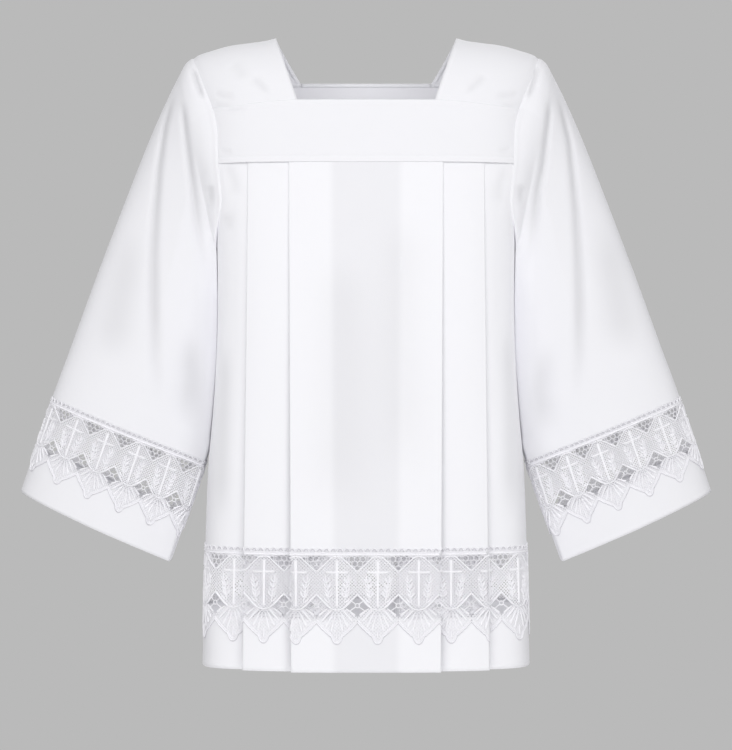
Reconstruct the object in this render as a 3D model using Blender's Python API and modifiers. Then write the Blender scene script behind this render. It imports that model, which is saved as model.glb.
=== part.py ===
"""A worn, hollow surplice: square yoke, pleated body, wide sleeves, lace above the hem and cuffs.

Metres, +Z up. The front faces -Y and the wearer's left sleeve points to +X.
The origin lies midway between the shoulders, at the height where the shoulder straps rest on them.
Every piece of cloth is a mid-surface of rings or rows, worked out below, with Solidify for its wall.
"""

import math

import bmesh
import bpy
from mathutils import Vector

# Cloth: walls, and how far apart two layers that touch are kept, measured from middle to middle.
CLOTH_WALL = 0.0012
LACE_WALL = 0.0010
SEAM_GAP = 0.0003
LAP_GAP = 0.0007
LAP = CLOTH_WALL + LAP_GAP
LACE_LIFT = CLOTH_WALL / 2 + LACE_WALL / 2 + LAP_GAP

# Heights on the body.
FRONT_NECK_Z = -0.091
BACK_NECK_Z = -0.040
BAND_HEIGHT = 0.088
BAND_FLARE = 0.0006
HEM_Z = -0.885
ARMHOLE_BOTTOM_Z = -0.285
PANEL_TUCK = 0.012
STRAP_TUCK = 0.008
CLOSEST_ROWS = 0.020

# The lace and the strip of cloth below it, as heights above the hem of the body.
LACE_TOP = 0.1715
PANEL_END = 0.161
BAND_TOP = 0.0745
LACE_TIP = 0.040

# The torso tube: half its width, and its depth to the front and to the back.
TORSO_ROUNDNESS = 4
TORSO = (
    # z, half_width, front_depth, back_depth
    (0.000, 0.2400, 0.100, 0.070),
    (-0.040, 0.2400, 0.104, 0.085),
    (-0.091, 0.2360, 0.108, 0.101),
    (-0.128, 0.2345, 0.113, 0.111),
    (-0.179, 0.2330, 0.118, 0.117),
    (-0.212, 0.2240, 0.120, 0.120),
    (-0.232, 0.2190, 0.121, 0.121),
    (-0.255, 0.2155, 0.122, 0.122),
    (-0.285, 0.2130, 0.123, 0.123),
    (-0.400, 0.2120, 0.127, 0.127),
    (-0.500, 0.2165, 0.130, 0.130),
    (-0.620, 0.2260, 0.133, 0.133),
    (-0.885, 0.2335, 0.140, 0.140),
)

# The ridge of the shoulder, from the neck out to the sleeve's seam.
RIDGE_ROUNDNESS = 1.75
RIDGE = (
    # x, z
    (0.1305, 0.0122),
    (0.1444, 0.0083),
    (0.1680, 0.0050),
    (0.1970, 0.0010),
    (0.2248, -0.0067),
    (0.2420, -0.0124),
    (0.2490, -0.0175),
)
NECK_HALF_WIDTH = {"front": 0.0960, "back": 0.0976}

# The sleeve's seam round the armhole, as half the width between the two seams.
ARMHOLE = (
    # z, x
    (-0.0175, 0.2490),
    (-0.0280, 0.2450),
    (-0.0430, 0.2345),
    (-0.0820, 0.2220),
    (-0.1050, 0.2138),
    (-0.1280, 0.2086),
    (-0.1700, 0.2070),
    (-0.2120, 0.2035),
    (-0.2320, 0.2027),
    (-0.2550, 0.2068),
    (-0.2720, 0.2105),
    (-0.2850, 0.2130),
)

# The pleats: two knife pleats on each side of the middle, both turned outwards.
PLEAT_DEPTH = 0.0593
PLEATS = (
    # fold's x at the yoke, fold's x at the hem
    (0.1070, 0.1033),
    (0.1645, 0.1717),
)
# Distance between the layers of a pleat: back to back at the fold, face to face at the inner turn.
FOLD_GAP = {"yoke": 0.0018, "hem": 0.0040}
INNER_GAP = {"yoke": 0.0018, "hem": 0.0080}

# The sleeve, as slanting sections: its outer and inner edge seen from the front, and its half depth by each.
SLEEVE_ROUNDNESS = 2.3
SLEEVE = (
    # outer_x, outer_z, inner_x, inner_z, outer_depth, inner_depth
    (0.2660, -0.037, 0.2160, -0.300, 0.082, 0.058),
    (0.2860, -0.076, 0.2155, -0.335, 0.078, 0.052),
    (0.3120, -0.134, 0.2152, -0.375, 0.074, 0.048),
    (0.3460, -0.219, 0.2168, -0.440, 0.070, 0.045),
    (0.3886, -0.330, 0.2195, -0.495, 0.067, 0.044),
    (0.4280, -0.438, 0.2242, -0.558, 0.065, 0.046),
    (0.4524, -0.504, 0.2310, -0.597, 0.064, 0.048),
    (0.4988, -0.642, 0.2828, -0.743, 0.063, 0.054),
)
# Places between the last two sections, as shares of the way from the lace's top down to the cuff.
CUFF_LACE_TOP = 0.0
SLEEVE_END = 0.07
CUFF_BAND_TOP = 0.60
CUFF_LACE_TIP = 0.79
RING_POINTS = 24
RING_CLEARANCE = 0.0014

WHITE_CLOTH = (0.88, 0.88, 0.91, 1.0)
WHITE_LACE = (0.90, 0.90, 0.92, 1.0)


def mix(a, b, share):
    return a + (b - a) * share


def smooth_read(table, key, column):
    """Reads a column of a table at key, on a smooth curve through its rows. Keys may rise or fall."""
    rows = sorted(table)
    key = min(max(key, rows[0][0]), rows[-1][0])
    i = max(n for n in range(len(rows) - 1) if rows[n][0] <= key or n == 0)
    low, high = rows[i], rows[i + 1]
    step = high[0] - low[0]
    t = (key - low[0]) / step

    def slope(n):
        before, after = rows[max(n - 1, 0)], rows[min(n + 1, len(rows) - 1)]
        return (after[column] - before[column]) / (after[0] - before[0])

    return (
        low[column] * (2 * t**3 - 3 * t**2 + 1)
        + high[column] * (3 * t**2 - 2 * t**3)
        + slope(i) * step * (t**3 - 2 * t**2 + t)
        + slope(i + 1) * step * (t**3 - t**2)
    )


def rounded(share, roundness):
    """The other coordinate of a superellipse of half axes 1, where the first one is share."""
    return max(0.0, 1 - abs(share) ** roundness) ** (1 / roundness)


# ---- the torso ----


def torso_width(z):
    return smooth_read(TORSO, z, 1)


def torso_y(x, z, side, grow=0.0):
    """Depth of the torso tube at x and z, negative at the front. grow moves the surface out."""
    depth = smooth_read(TORSO, z, 2 if side == "front" else 3) + grow
    sign = -1 if side == "front" else 1
    return sign * depth * rounded(x / (torso_width(z) + grow), TORSO_ROUNDNESS)


def edge_x(z):
    """Half width of a body panel at z: to the armhole's seam, and below it to the side seam."""
    return smooth_read(ARMHOLE, z, 1) if z > ARMHOLE_BOTTOM_Z else torso_width(z)


# ---- the shoulder ----


def neck_z(side):
    return FRONT_NECK_Z if side == "front" else BACK_NECK_Z


def strap_point(across, turn, side):
    """A point of the strap. across goes from the neck (0) to the sleeve (1), turn from the band (0) to the ridge (1)."""
    base_z = neck_z(side)
    base_x = mix(NECK_HALF_WIDTH[side], edge_x(base_z), across)
    ridge_x = mix(RIDGE[0][0], RIDGE[-1][0], across)
    ridge_z = smooth_read(RIDGE, ridge_x, 1)
    angle = turn * math.pi / 2
    rise = math.sin(angle) ** (2 / RIDGE_ROUNDNESS)
    reach = math.cos(angle) ** (2 / RIDGE_ROUNDNESS)
    return Vector(
        (
            mix(base_x, ridge_x, rise),
            torso_y(base_x, base_z, side) * reach,
            mix(base_z, ridge_z, rise),
        )
    )


def armhole_point(down, side):
    """A point of the armhole's seam, from the ridge (down 0) to the underarm (down 1)."""
    top_z = RIDGE[-1][1]
    z = mix(top_z, ARMHOLE_BOTTOM_Z, down)
    base_z = neck_z(side)
    if z < base_z:
        return Vector((edge_x(z), torso_y(edge_x(z), z, side), z))
    rise = (z - base_z) / (top_z - base_z)
    base_x = edge_x(base_z)
    y = torso_y(base_x, base_z, side) * rounded(rise, RIDGE_ROUNDNESS)
    return Vector((mix(base_x, RIDGE[-1][0], rise), y, z))


# ---- the pleated body ----


def pleat_share(z):
    """How far down from the yoke to the hem z lies, from 0 to 1."""
    yoke_z = FRONT_NECK_Z - BAND_HEIGHT
    return min(max((yoke_z - z) / (yoke_z - HEM_Z), 0.0), 1.0)


def half_pleated_row(z, side):
    """Plan of one half of a pleated panel at z, from the middle out to the seam, as (x, y) points."""
    share = pleat_share(z)
    fold_gap = mix(FOLD_GAP["yoke"], FOLD_GAP["hem"], share)
    inner_gap = mix(INNER_GAP["yoke"], INNER_GAP["hem"], share)

    def layer_point(x, inset):
        return torso_y(x, z, side, 0.0) * (1 - inset / abs(torso_y(0.0, z, side)))

    def run(x_from, x_to, inset, steps):
        found = []
        for n in range(steps):
            x = mix(x_from, x_to, n / steps)
            found.append((x, layer_point(x, inset)))
        return found

    def turn(x, inset, gap, direction, steps=2):
        """A half circle from one layer to the next one inside it, bulging to +x where direction is 1."""
        y_out, y_in = layer_point(x, inset), layer_point(x, inset + gap)
        middle, radius = (y_out + y_in) / 2, (y_out - y_in) / 2
        found = []
        for n in range(steps):
            angle = math.pi * n / steps
            bulge = direction * abs(radius) * math.sin(angle)
            found.append((x + bulge, middle + radius * math.cos(angle)))
        return found

    row, x, inset = [], 0.0, 0.0
    for fold_at_yoke, fold_at_hem in PLEATS:
        fold_x = mix(fold_at_yoke, fold_at_hem, share)
        inner_x = fold_x - PLEAT_DEPTH
        turn_out_x = fold_x - fold_gap / 2
        turn_in_x = inner_x + inner_gap / 2
        row += run(x, turn_out_x, inset, 3 if inset == 0 else 2)
        row += turn(turn_out_x, inset, fold_gap, 1)
        inset += fold_gap
        row += run(turn_out_x, turn_in_x, inset, 1)
        row += turn(turn_in_x, inset, inner_gap, -1)
        inset += inner_gap
        x = turn_in_x
    side_steps = 8
    end_x = edge_x(z)
    for n in range(side_steps + 1):
        # Steps close up towards the side, where the curve is tight, and the cloth comes out to the seam there.
        along = math.sin(math.pi / 2 * n / side_steps)
        side_x = mix(x, end_x, along)
        y = layer_point(side_x, inset * (1 - along**4))
        at_side_seam = n == side_steps and z <= ARMHOLE_BOTTOM_Z
        half_gap = SEAM_GAP / 2 if side == "back" else -SEAM_GAP / 2
        row.append((side_x, half_gap if at_side_seam else y))
    return row


def moved_out(row, distance):
    """A plan row moved out along its own normals, as lace lies on cloth."""
    points = [Vector(point) for point in row]
    ways = [(after - before).normalized() for before, after in zip(points, points[1:])]
    moved = []
    for n, point in enumerate(points):
        way_in, way_out = ways[max(n - 1, 0)], ways[min(n, len(ways) - 1)]
        along = (way_in + way_out).normalized()
        mitre = distance / along.dot(way_in)
        moved.append((point.x + along.y * mitre, point.y - along.x * mitre))
    return moved


def pleated_row(z, side, lift=0.0):
    """The whole plan row, from the -X seam to the +X seam, lifted off the cloth by lift."""
    half = half_pleated_row(z, side)
    row = [(-x, y) for x, y in reversed(half[1:])] + half
    row = moved_out(row, lift if side == "front" else -lift)
    return [Vector((x, y, z)) for x, y in row]


def pleated_rows(heights, side, lift=0.0):
    return [pleated_row(z, side, lift) for z in heights]


# ---- the sleeve ----


def sleeve_ring(station, grow=0.0):
    """A ring of the sleeve. Station 0 is the armhole's seam, and 1 to 8 are the sections of SLEEVE."""
    ring = []
    for n in range(RING_POINTS):
        angle = 2 * math.pi * n / RING_POINTS
        down = (1 - math.cos(angle)) / 2
        if station <= 0:
            side = "front" if angle < math.pi else "back"
            point = armhole_point(down, side)
            point.x += RING_CLEARANCE * (1 + down**4)
        else:
            point = section_point(station, angle, down, grow)
        ring.append(point)
    return ring


def section_point(station, angle, down, grow):
    low = min(int(station), len(SLEEVE) - 1)
    lower, upper = SLEEVE[low - 1], SLEEVE[low]
    values = [mix(a, b, station - low) for a, b in zip(lower, upper)]
    outer, inner = Vector((values[0], 0, values[1])), Vector((values[2], 0, values[3]))
    centre, half = (outer + inner) / 2, (outer - inner) / 2
    half *= 1 + grow / half.length
    depth = mix(values[4], values[5], down) + grow
    squared = 2 / SLEEVE_ROUNDNESS
    along = math.copysign(abs(math.cos(angle)) ** squared, math.cos(angle))
    across = math.copysign(abs(math.sin(angle)) ** squared, math.sin(angle))
    return centre + half * along + Vector((0, -depth * across, 0))


def cuff_station(share):
    return len(SLEEVE) - 1 + share


# ---- making the objects ----


def cloth_material(name, colour, roughness):
    material = bpy.data.materials.new(name)
    material.use_nodes = True
    shader = material.node_tree.nodes["Principled BSDF"]
    shader.inputs["Base Color"].default_value = colour
    shader.inputs["Roughness"].default_value = roughness
    shader.inputs["Metallic"].default_value = 0.0
    return material


def mirrored(rows):
    return [[Vector((-p.x, p.y, p.z)) for p in row] for row in rows]


def cloth_piece(name, rows, wall, material, collection, closed=False):
    """A wall of cloth through rows of points. closed joins each row into a ring."""
    mesh = bpy.data.meshes.new(name)
    work = bmesh.new()
    grid = [[work.verts.new(point) for point in row] for row in rows]
    count = len(rows[0])
    for upper, lower in zip(grid, grid[1:]):
        for n in range(count if closed else count - 1):
            after = (n + 1) % count
            work.faces.new((upper[n], upper[after], lower[after], lower[n]))
    bmesh.ops.recalc_face_normals(work, faces=work.faces)
    work.to_mesh(mesh)
    work.free()
    mesh.shade_smooth()
    piece = bpy.data.objects.new(name, mesh)
    collection.objects.link(piece)
    mesh.materials.append(material)
    shell = piece.modifiers.new("Wall", "SOLIDIFY")
    shell.thickness = wall
    shell.offset = 0.0
    shell.use_even_offset = True
    shell.use_quality_normals = True
    return piece


def band_rows(side):
    """The yoke's front or back band, lying on the cloth inside it."""
    rows = []
    steps_down, steps_across = 2, 14
    for down in range(steps_down + 1):
        z = neck_z(side) - BAND_HEIGHT * down / steps_down
        row = []
        for n in range(-steps_across, steps_across + 1):
            x = (edge_x(z) - SEAM_GAP) * math.sin(math.pi / 2 * n / steps_across)
            lift = LAP + BAND_FLARE * down / steps_down
            row.append(Vector((x, torso_y(x, z, side, lift), z)))
        rows.append(row)
    return rows


def strap_rows():
    """The +X shoulder strap, from under the front band over the ridge to under the back band."""
    steps_across, steps_turn = 10, 5
    # Steps close up towards the sleeve, where the curve is tight.
    shares = [math.sin(math.pi / 2 * n / steps_across) for n in range(steps_across + 1)]

    def tucked(side):
        z = neck_z(side) - STRAP_TUCK
        row = []
        for share in shares:
            x = mix(NECK_HALF_WIDTH[side], edge_x(z), share)
            row.append(Vector((x, torso_y(x, z, side), z)))
        return row

    def turned(step, side):
        return [strap_point(share, step / steps_turn, side) for share in shares]

    front = [turned(step, "front") for step in range(steps_turn + 1)]
    back = [turned(step, "back") for step in range(steps_turn - 1, -1, -1)]
    return [tucked("front"), *front, *back, tucked("back")]


def panel_heights(side):
    """Heights of a body panel's rows, closer together beside the armhole."""
    top = neck_z(side) - BAND_HEIGHT + PANEL_TUCK
    lower = (-0.170, -0.212, -0.232, -0.255, -0.272, ARMHOLE_BOTTOM_Z, -0.400, -0.500, -0.620)
    return [top, *(z for z in lower if z < top - CLOSEST_ROWS), HEM_Z + PANEL_END]


def build():
    for old in list(bpy.data.objects):
        bpy.data.objects.remove(old)
    collection = bpy.data.collections.new("surplice")
    bpy.context.scene.collection.children.link(collection)
    cloth = cloth_material("white_cloth", WHITE_CLOTH, 0.75)
    lace = cloth_material("white_lace", WHITE_LACE, 0.60)

    for side in ("front", "back"):
        # The body's pieces follow one set of pleats, so they share their rows.
        lace_heights = (HEM_Z + LACE_TOP, HEM_Z + LACE_TIP)
        band_heights = (HEM_Z + BAND_TOP, HEM_Z)
        cloth_piece(f"yoke_{side}", band_rows(side), CLOTH_WALL, cloth, collection)
        cloth_piece(f"panel_{side}", pleated_rows(panel_heights(side), side), CLOTH_WALL, cloth, collection)
        cloth_piece(f"hem_band_{side}", pleated_rows(band_heights, side), CLOTH_WALL, cloth, collection)
        cloth_piece(
            f"hem_lace_{side}", pleated_rows(lace_heights, side, LACE_LIFT), LACE_WALL, lace, collection
        )

    sleeve_stations = [*range(len(SLEEVE)), cuff_station(SLEEVE_END)]
    sleeve = [sleeve_ring(station) for station in sleeve_stations]
    cuff_band = [sleeve_ring(cuff_station(share)) for share in (CUFF_BAND_TOP, 1.0)]
    cuff_lace = [
        sleeve_ring(cuff_station(share), LACE_LIFT) for share in (CUFF_LACE_TOP, CUFF_LACE_TIP)
    ]
    for hand, turned in (("left", list), ("right", mirrored)):
        cloth_piece(f"shoulder_{hand}", turned(strap_rows()), CLOTH_WALL, cloth, collection)
        cloth_piece(f"sleeve_{hand}", turned(sleeve), CLOTH_WALL, cloth, collection, closed=True)
        cloth_piece(f"cuff_band_{hand}", turned(cuff_band), CLOTH_WALL, cloth, collection, closed=True)
        cloth_piece(f"cuff_lace_{hand}", turned(cuff_lace), LACE_WALL, lace, collection, closed=True)


build()
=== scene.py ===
import math
import bmesh
import bpy
import numpy as np
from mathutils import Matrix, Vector


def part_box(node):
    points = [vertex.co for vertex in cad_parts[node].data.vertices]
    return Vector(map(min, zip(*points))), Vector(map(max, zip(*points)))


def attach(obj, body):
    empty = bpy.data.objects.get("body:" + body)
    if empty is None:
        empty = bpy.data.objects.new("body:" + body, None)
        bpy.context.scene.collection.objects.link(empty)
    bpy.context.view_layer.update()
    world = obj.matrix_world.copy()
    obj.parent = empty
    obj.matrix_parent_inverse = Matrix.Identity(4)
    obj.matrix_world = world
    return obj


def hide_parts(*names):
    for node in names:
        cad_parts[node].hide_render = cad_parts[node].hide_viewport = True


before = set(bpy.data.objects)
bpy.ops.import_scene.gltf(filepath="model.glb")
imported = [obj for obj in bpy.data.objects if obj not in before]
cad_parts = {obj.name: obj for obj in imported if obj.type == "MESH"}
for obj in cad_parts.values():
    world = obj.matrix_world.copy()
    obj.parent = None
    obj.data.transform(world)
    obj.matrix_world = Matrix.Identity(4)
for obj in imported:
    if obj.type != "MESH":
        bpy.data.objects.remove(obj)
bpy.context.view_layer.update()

print("frame loaded")


def mix(a, b, share):
    return a + (b - a) * share


def smooth(share):
    share = min(max(share, 0.0), 1.0)
    return share * share * (3 - 2 * share)


def readRows(rows, key, column):
    # a smooth curve through the rows of a table, whose first column is the key
    rows = sorted(rows)
    key = min(max(key, rows[0][0]), rows[-1][0])
    i = max(n for n in range(len(rows) - 1) if rows[n][0] <= key or n == 0)
    low, high = rows[i], rows[i + 1]
    step = high[0] - low[0]
    t = (key - low[0]) / step

    def slope(n):
        before, after = rows[max(n - 1, 0)], rows[min(n + 1, len(rows) - 1)]
        return (after[column] - before[column]) / (after[0] - before[0])

    return (
        low[column] * (2 * t**3 - 3 * t**2 + 1)
        + high[column] * (3 * t**2 - 2 * t**3)
        + slope(i) * step * (t**3 - 2 * t**2 + t)
        + slope(i + 1) * step * (t**3 - t**2)
    )


def rounded(share, power):
    return max(0.0, 1 - abs(share) ** power) ** (1 / power)


def steps(start, end, count):
    return [mix(start, end, n / count) for n in range(count + 1)]


def handed(point, sign):
    # a point of the left half, or with sign -1 its mirror image
    return Vector((sign * point.x, point.y, point.z))


garment = {
    "hemZ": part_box("hem_band_front")[0][2],
    "frontNeckZ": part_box("yoke_front")[1][2],
    "backNeckZ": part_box("yoke_back")[1][2],
    "bandHeight": 0.088,
    "underarmZ": -0.285,
    "panelTuck": 0.012,
    "strapTuck": 0.0058,
    "lap": 0.0009,  # from a layer to the one lapped over it
    "flushFades": (0.006, 0.004),  # heights over which the sleeve's seam comes flush with the band
    "torsoPower": 4,
    "ridgePower": 1.75,
    "neckHalf": {"front": 0.0960, "back": 0.0976},
    "seamDrop": {"front": 0.0085, "back": 0.0040},  # how much lower the band's top is at the armhole
    "clothWall": 0.0008,
    # z, half width, front depth, back depth
    "torso": [
        (0.000, 0.2400, 0.100, 0.070),
        (-0.040, 0.2400, 0.104, 0.085),
        (-0.091, 0.2360, 0.108, 0.101),
        (-0.128, 0.2345, 0.113, 0.111),
        (-0.179, 0.2330, 0.118, 0.117),
        (-0.212, 0.2240, 0.120, 0.120),
        (-0.232, 0.2190, 0.121, 0.121),
        (-0.255, 0.2155, 0.122, 0.122),
        (-0.285, 0.2130, 0.123, 0.123),
        (-0.400, 0.2120, 0.127, 0.127),
        (-0.500, 0.2165, 0.130, 0.130),
        (-0.620, 0.2260, 0.133, 0.133),
        (-0.885, 0.2335, 0.140, 0.140),
    ],
    # x, z
    "ridge": [
        (0.1305, 0.0122),
        (0.1444, 0.0083),
        (0.1680, 0.0050),
        (0.1970, 0.0010),
        (0.2248, -0.0067),
        (0.2420, -0.0124),
        (0.2490, -0.0175),
    ],
    # z, x
    "armhole": [
        (-0.0175, 0.2490),
        (-0.0280, 0.2450),
        (-0.0430, 0.2345),
        (-0.0820, 0.2220),
        (-0.1050, 0.2138),
        (-0.1280, 0.2086),
        (-0.1700, 0.2070),
        (-0.2120, 0.2035),
        (-0.2320, 0.2027),
        (-0.2550, 0.2068),
        (-0.2720, 0.2105),
        (-0.2850, 0.2130),
    ],
}


def torsoWidth(z):
    return readRows(garment["torso"], z, 1)


def torsoY(x, z, side, grow=0.0):
    depth = readRows(garment["torso"], z, 2 if side == "front" else 3) + grow
    sign = -1 if side == "front" else 1
    return sign * depth * rounded(x / (torsoWidth(z) + grow), garment["torsoPower"])


def edgeX(z):
    return readRows(garment["armhole"], z, 1) if z > garment["underarmZ"] else torsoWidth(z)


def neckZ(side):
    return garment["frontNeckZ"] if side == "front" else garment["backNeckZ"]


def seamZ(across, side):
    # the strap's seam with the band, from the neck's corner out to the armhole
    return neckZ(side) - garment["seamDrop"][side] * smooth(across)


strapMiddle = Vector((0.18, 0, -0.12))  # roughly inside the left shoulder


def strapPoint(across, turn, side):
    baseZ = seamZ(across, side)
    baseX = mix(garment["neckHalf"][side], edgeX(baseZ), across)
    ridge = garment["ridge"]
    ridgeX = mix(ridge[0][0], ridge[-1][0], across)
    angle = turn * math.pi / 2
    rise = math.sin(angle) ** (2 / garment["ridgePower"])
    reach = max(math.cos(angle), 0.0) ** (2 / garment["ridgePower"])
    return Vector((
        mix(baseX, ridgeX, rise),
        torsoY(baseX, baseZ, side) * reach,
        mix(baseZ, readRows(ridge, ridgeX, 1), rise),
    ))


def armholePoint(down, side):
    ridge = garment["ridge"]
    z = mix(ridge[-1][1], garment["underarmZ"], down)
    baseZ = seamZ(1.0, side)
    if z < baseZ:
        # flush with the band where the band is
        below = z - neckZ(side) + garment["bandHeight"]
        footFade, topFade = garment["flushFades"]
        lift = garment["lap"] * smooth(below / footFade + 0.5) * smooth((baseZ - z) / topFade)
        return Vector((edgeX(z), torsoY(edgeX(z), z, side, lift), z))
    rise = (z - baseZ) / (ridge[-1][1] - baseZ)
    baseX = edgeX(baseZ)
    y = torsoY(baseX, baseZ, side) * rounded(rise, garment["ridgePower"])
    return Vector((mix(baseX, ridge[-1][0], rise), y, z))


class Value:
    # a socket that takes part in sums
    def __init__(self, graph, socket):
        self.graph, self.socket = graph, socket

    def maths(self, operation, *others):
        sockets = dict(enumerate((self, *others)))
        return self.graph.node("ShaderNodeMath", {"operation": operation}, sockets).value()

    def __add__(self, other):
        return self.maths("ADD", other)

    def __sub__(self, other):
        return self.maths("SUBTRACT", other)

    def __mul__(self, other):
        return self.maths("MULTIPLY", other)

    def __truediv__(self, other):
        return self.maths("DIVIDE", other)

    def __rsub__(self, other):
        return self.graph.number(other).maths("SUBTRACT", self)

    def wave(self, length):
        return (self * (2 * math.pi / length)).maths("SINE")

    def clipped(self):
        return self.maths("MAXIMUM", 0.0).maths("MINIMUM", 1.0)


class Node:
    def __init__(self, graph, made):
        self.graph, self.made = graph, made

    def value(self, name=0):
        return Value(self.graph, self.made.outputs[name])


class Graph:
    def __init__(self, tree):
        self.tree = tree
        tree.nodes.clear()

    def node(self, kind, settings=None, sockets=None):
        made = self.tree.nodes.new(kind)
        for name, setting in (settings or {}).items():
            setattr(made, name, setting)
        for name, given in (sockets or {}).items():
            if isinstance(given, Value):
                self.tree.links.new(given.socket, made.inputs[name])
            else:
                made.inputs[name].default_value = given
        return Node(self, made)

    def number(self, given):
        return self.node("ShaderNodeMath", {"operation": "ADD"}, {0: given, 1: 0.0}).value()

    def attribute(self, name):
        return self.node("ShaderNodeAttribute", {"attribute_name": name}).value("Fac")

    def noise(self, place, scale, detail):
        return self.node("ShaderNodeTexNoise", None, {
            "Vector": place, "Scale": scale, "Detail": detail,
        }).value("Fac")


clothFinish = {
    "singleLayerShaded": (0.820, 0.818, 0.850, 1),  # one layer of cloth, painted darker and bluer as shade
    "doubleLayerLit": (0.882, 0.880, 0.912, 1),  # cloth with a pleat's underlay behind it, painted lighter as light sent back through it
    "roughness": 0.72,
    "thread": 0.0007,
    "weaveHeight": 0.00008,
    "slubScale": (30, 1400, 1),
    "cloudScale": 7.0,
    "unevenness": 0.025,
    "foldShade": 0.17,  # painted shade, darker in the creases
    "edgeLightAmount": 0.13,  # painted light, lighter beside the fold under the arm
    "sheen": 0.12,
}


def surfaceTree(name):
    material = bpy.data.materials.new(name)
    material.use_nodes = True
    return material, Graph(material.node_tree)


def finishSurface(graph, sockets):
    shader = graph.node("ShaderNodeBsdfPrincipled", None, sockets)
    graph.node("ShaderNodeOutputMaterial", None, {"Surface": shader.value("BSDF")})


def clothMaterial(name, finish):
    material, graph = surfaceTree(name)
    flat = graph.node("ShaderNodeUVMap", {"uv_map": "cloth"}).value()
    parts = graph.node("ShaderNodeSeparateXYZ", None, {0: flat})
    across, down = parts.value("X"), parts.value("Y")
    warp, weft = across.wave(finish["thread"]), down.wave(finish["thread"])
    weave = warp * weft * 0.5 + 0.5
    # thicker threads here and there, running across the cloth
    stretched = graph.node("ShaderNodeVectorMath", {"operation": "MULTIPLY"}, {
        0: flat, 1: finish["slubScale"],
    }).value()
    slub = graph.noise(stretched, 1.0, 2.0)
    cloud = graph.noise(graph.node("ShaderNodeTexCoord").value("Object"), finish["cloudScale"], 3.0)
    # painted light: the cloth is painted lighter where more cloth lies behind it
    plain = graph.node("ShaderNodeMix", {"data_type": "RGBA"}, {
        0: graph.attribute("layers"), 6: finish["singleLayerShaded"], 7: finish["doubleLayerLit"],
    }).value(2)
    shade = 1.0 - (cloud * 0.6 + slub * 0.4) * finish["unevenness"]
    # painted shade in the creases, from the attribute folds
    shade = shade - graph.attribute("folds") * finish["foldShade"]
    # painted light beside the fold under the arm, from the attribute lift
    shade = shade + graph.attribute("lift") * finish["edgeLightAmount"]
    grey = graph.node("ShaderNodeCombineColor", None, {0: shade, 1: shade, 2: shade}).value()
    colour = graph.node(
        "ShaderNodeMix", {"data_type": "RGBA", "blend_type": "MULTIPLY"}, {0: 1.0, 6: plain, 7: grey}
    ).value(2)
    height = weave * 0.7 + slub * 0.3
    bump = graph.node(
        "ShaderNodeBump", None, {"Strength": 0.5, "Distance": finish["weaveHeight"], "Height": height}
    ).value()
    finishSurface(graph, {
        "Base Color": colour,
        "Roughness": finish["roughness"] - slub * 0.1,
        "Sheen Weight": finish["sheen"],
        "Sheen Roughness": 0.4,
        "Normal": bump,
    })
    return material


laceFinish = {
    "bright": (0.950, 0.944, 0.980, 1),
    # the painted shade colour that threads of low tone fall to
    "grey": (0.690, 0.680, 0.722, 1),
    "cloudScale": 90.0,
    "unevenness": 0.07,
    "roughness": 0.42,
    "twist": 0.0011,
    "twistHeight": 0.00012,
}


def laceMaterial(name, finish):
    material, graph = surfaceTree(name)
    flat = graph.node("ShaderNodeUVMap", {"uv_map": "cloth"}).value()
    parts = graph.node("ShaderNodeSeparateXYZ", None, {0: flat})
    twist = (parts.value("X") + parts.value("Y") * 0.6).wave(finish["twist"])
    cloud = graph.noise(flat, finish["cloudScale"], 2.0)
    tone = (graph.attribute("tone") - (cloud - 0.5) * finish["unevenness"]).clipped()
    colour = graph.node(
        "ShaderNodeMix", {"data_type": "RGBA"}, {0: tone, 6: finish["grey"], 7: finish["bright"]}
    ).value(2)
    bump = graph.node(
        "ShaderNodeBump", None, {"Strength": 0.6, "Distance": finish["twistHeight"], "Height": twist}
    ).value()
    finishSurface(graph, {
        "Base Color": colour,
        "Roughness": cloud * 0.2 + finish["roughness"],
        "Sheen Weight": 0.1,
        "Normal": bump,
    })
    return material


cloth = clothMaterial("whiteCloth", clothFinish)
thread = laceMaterial("whiteThread", laceFinish)
print("materials made")


def crease(path, width, depth, fade=(0.2, 0.3)):
    # a path as x and z, its width at both ends, its depth, and the shares of it that rise and fall
    return {"path": path, "width": width, "depth": depth, "fade": fade}


def troughs(points, creases):
    # how deep the cloth is pressed in at each point, seen from the front
    total = np.zeros(len(points))
    for fold in creases:
        path = np.array(fold["path"])
        legs = np.diff(path, axis=0)
        lengths = np.linalg.norm(legs, axis=1)
        before = np.concatenate([[0], np.cumsum(lengths)])
        nearest = np.full(len(points), 9.0)
        along = np.zeros(len(points))
        for start, leg, length, passed in zip(path, legs, lengths, before):
            share = np.clip(((points - start) @ leg) / length**2, 0, 1)
            away = np.linalg.norm(points - start - share[:, None] * leg, axis=1)
            closer = away < nearest
            nearest = np.where(closer, away, nearest)
            along = np.where(closer, (passed + share * length) / before[-1], along)
        rise, fall = fold["fade"]
        taper = np.clip(along / rise, 0, 1) * np.clip((1 - along) / fall, 0, 1)
        taper = taper * taper * (3 - 2 * taper)
        width = mix(*fold["width"], along)
        total += fold["depth"] * taper * np.exp(-((nearest / width) ** 2))
    return total


pressing = {
    "deepFold": 0.005,  # a crease this deep has its full painted shade
    "facing": 2.5,  # how soon creases fade where the cloth turns to the side
}


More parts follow.
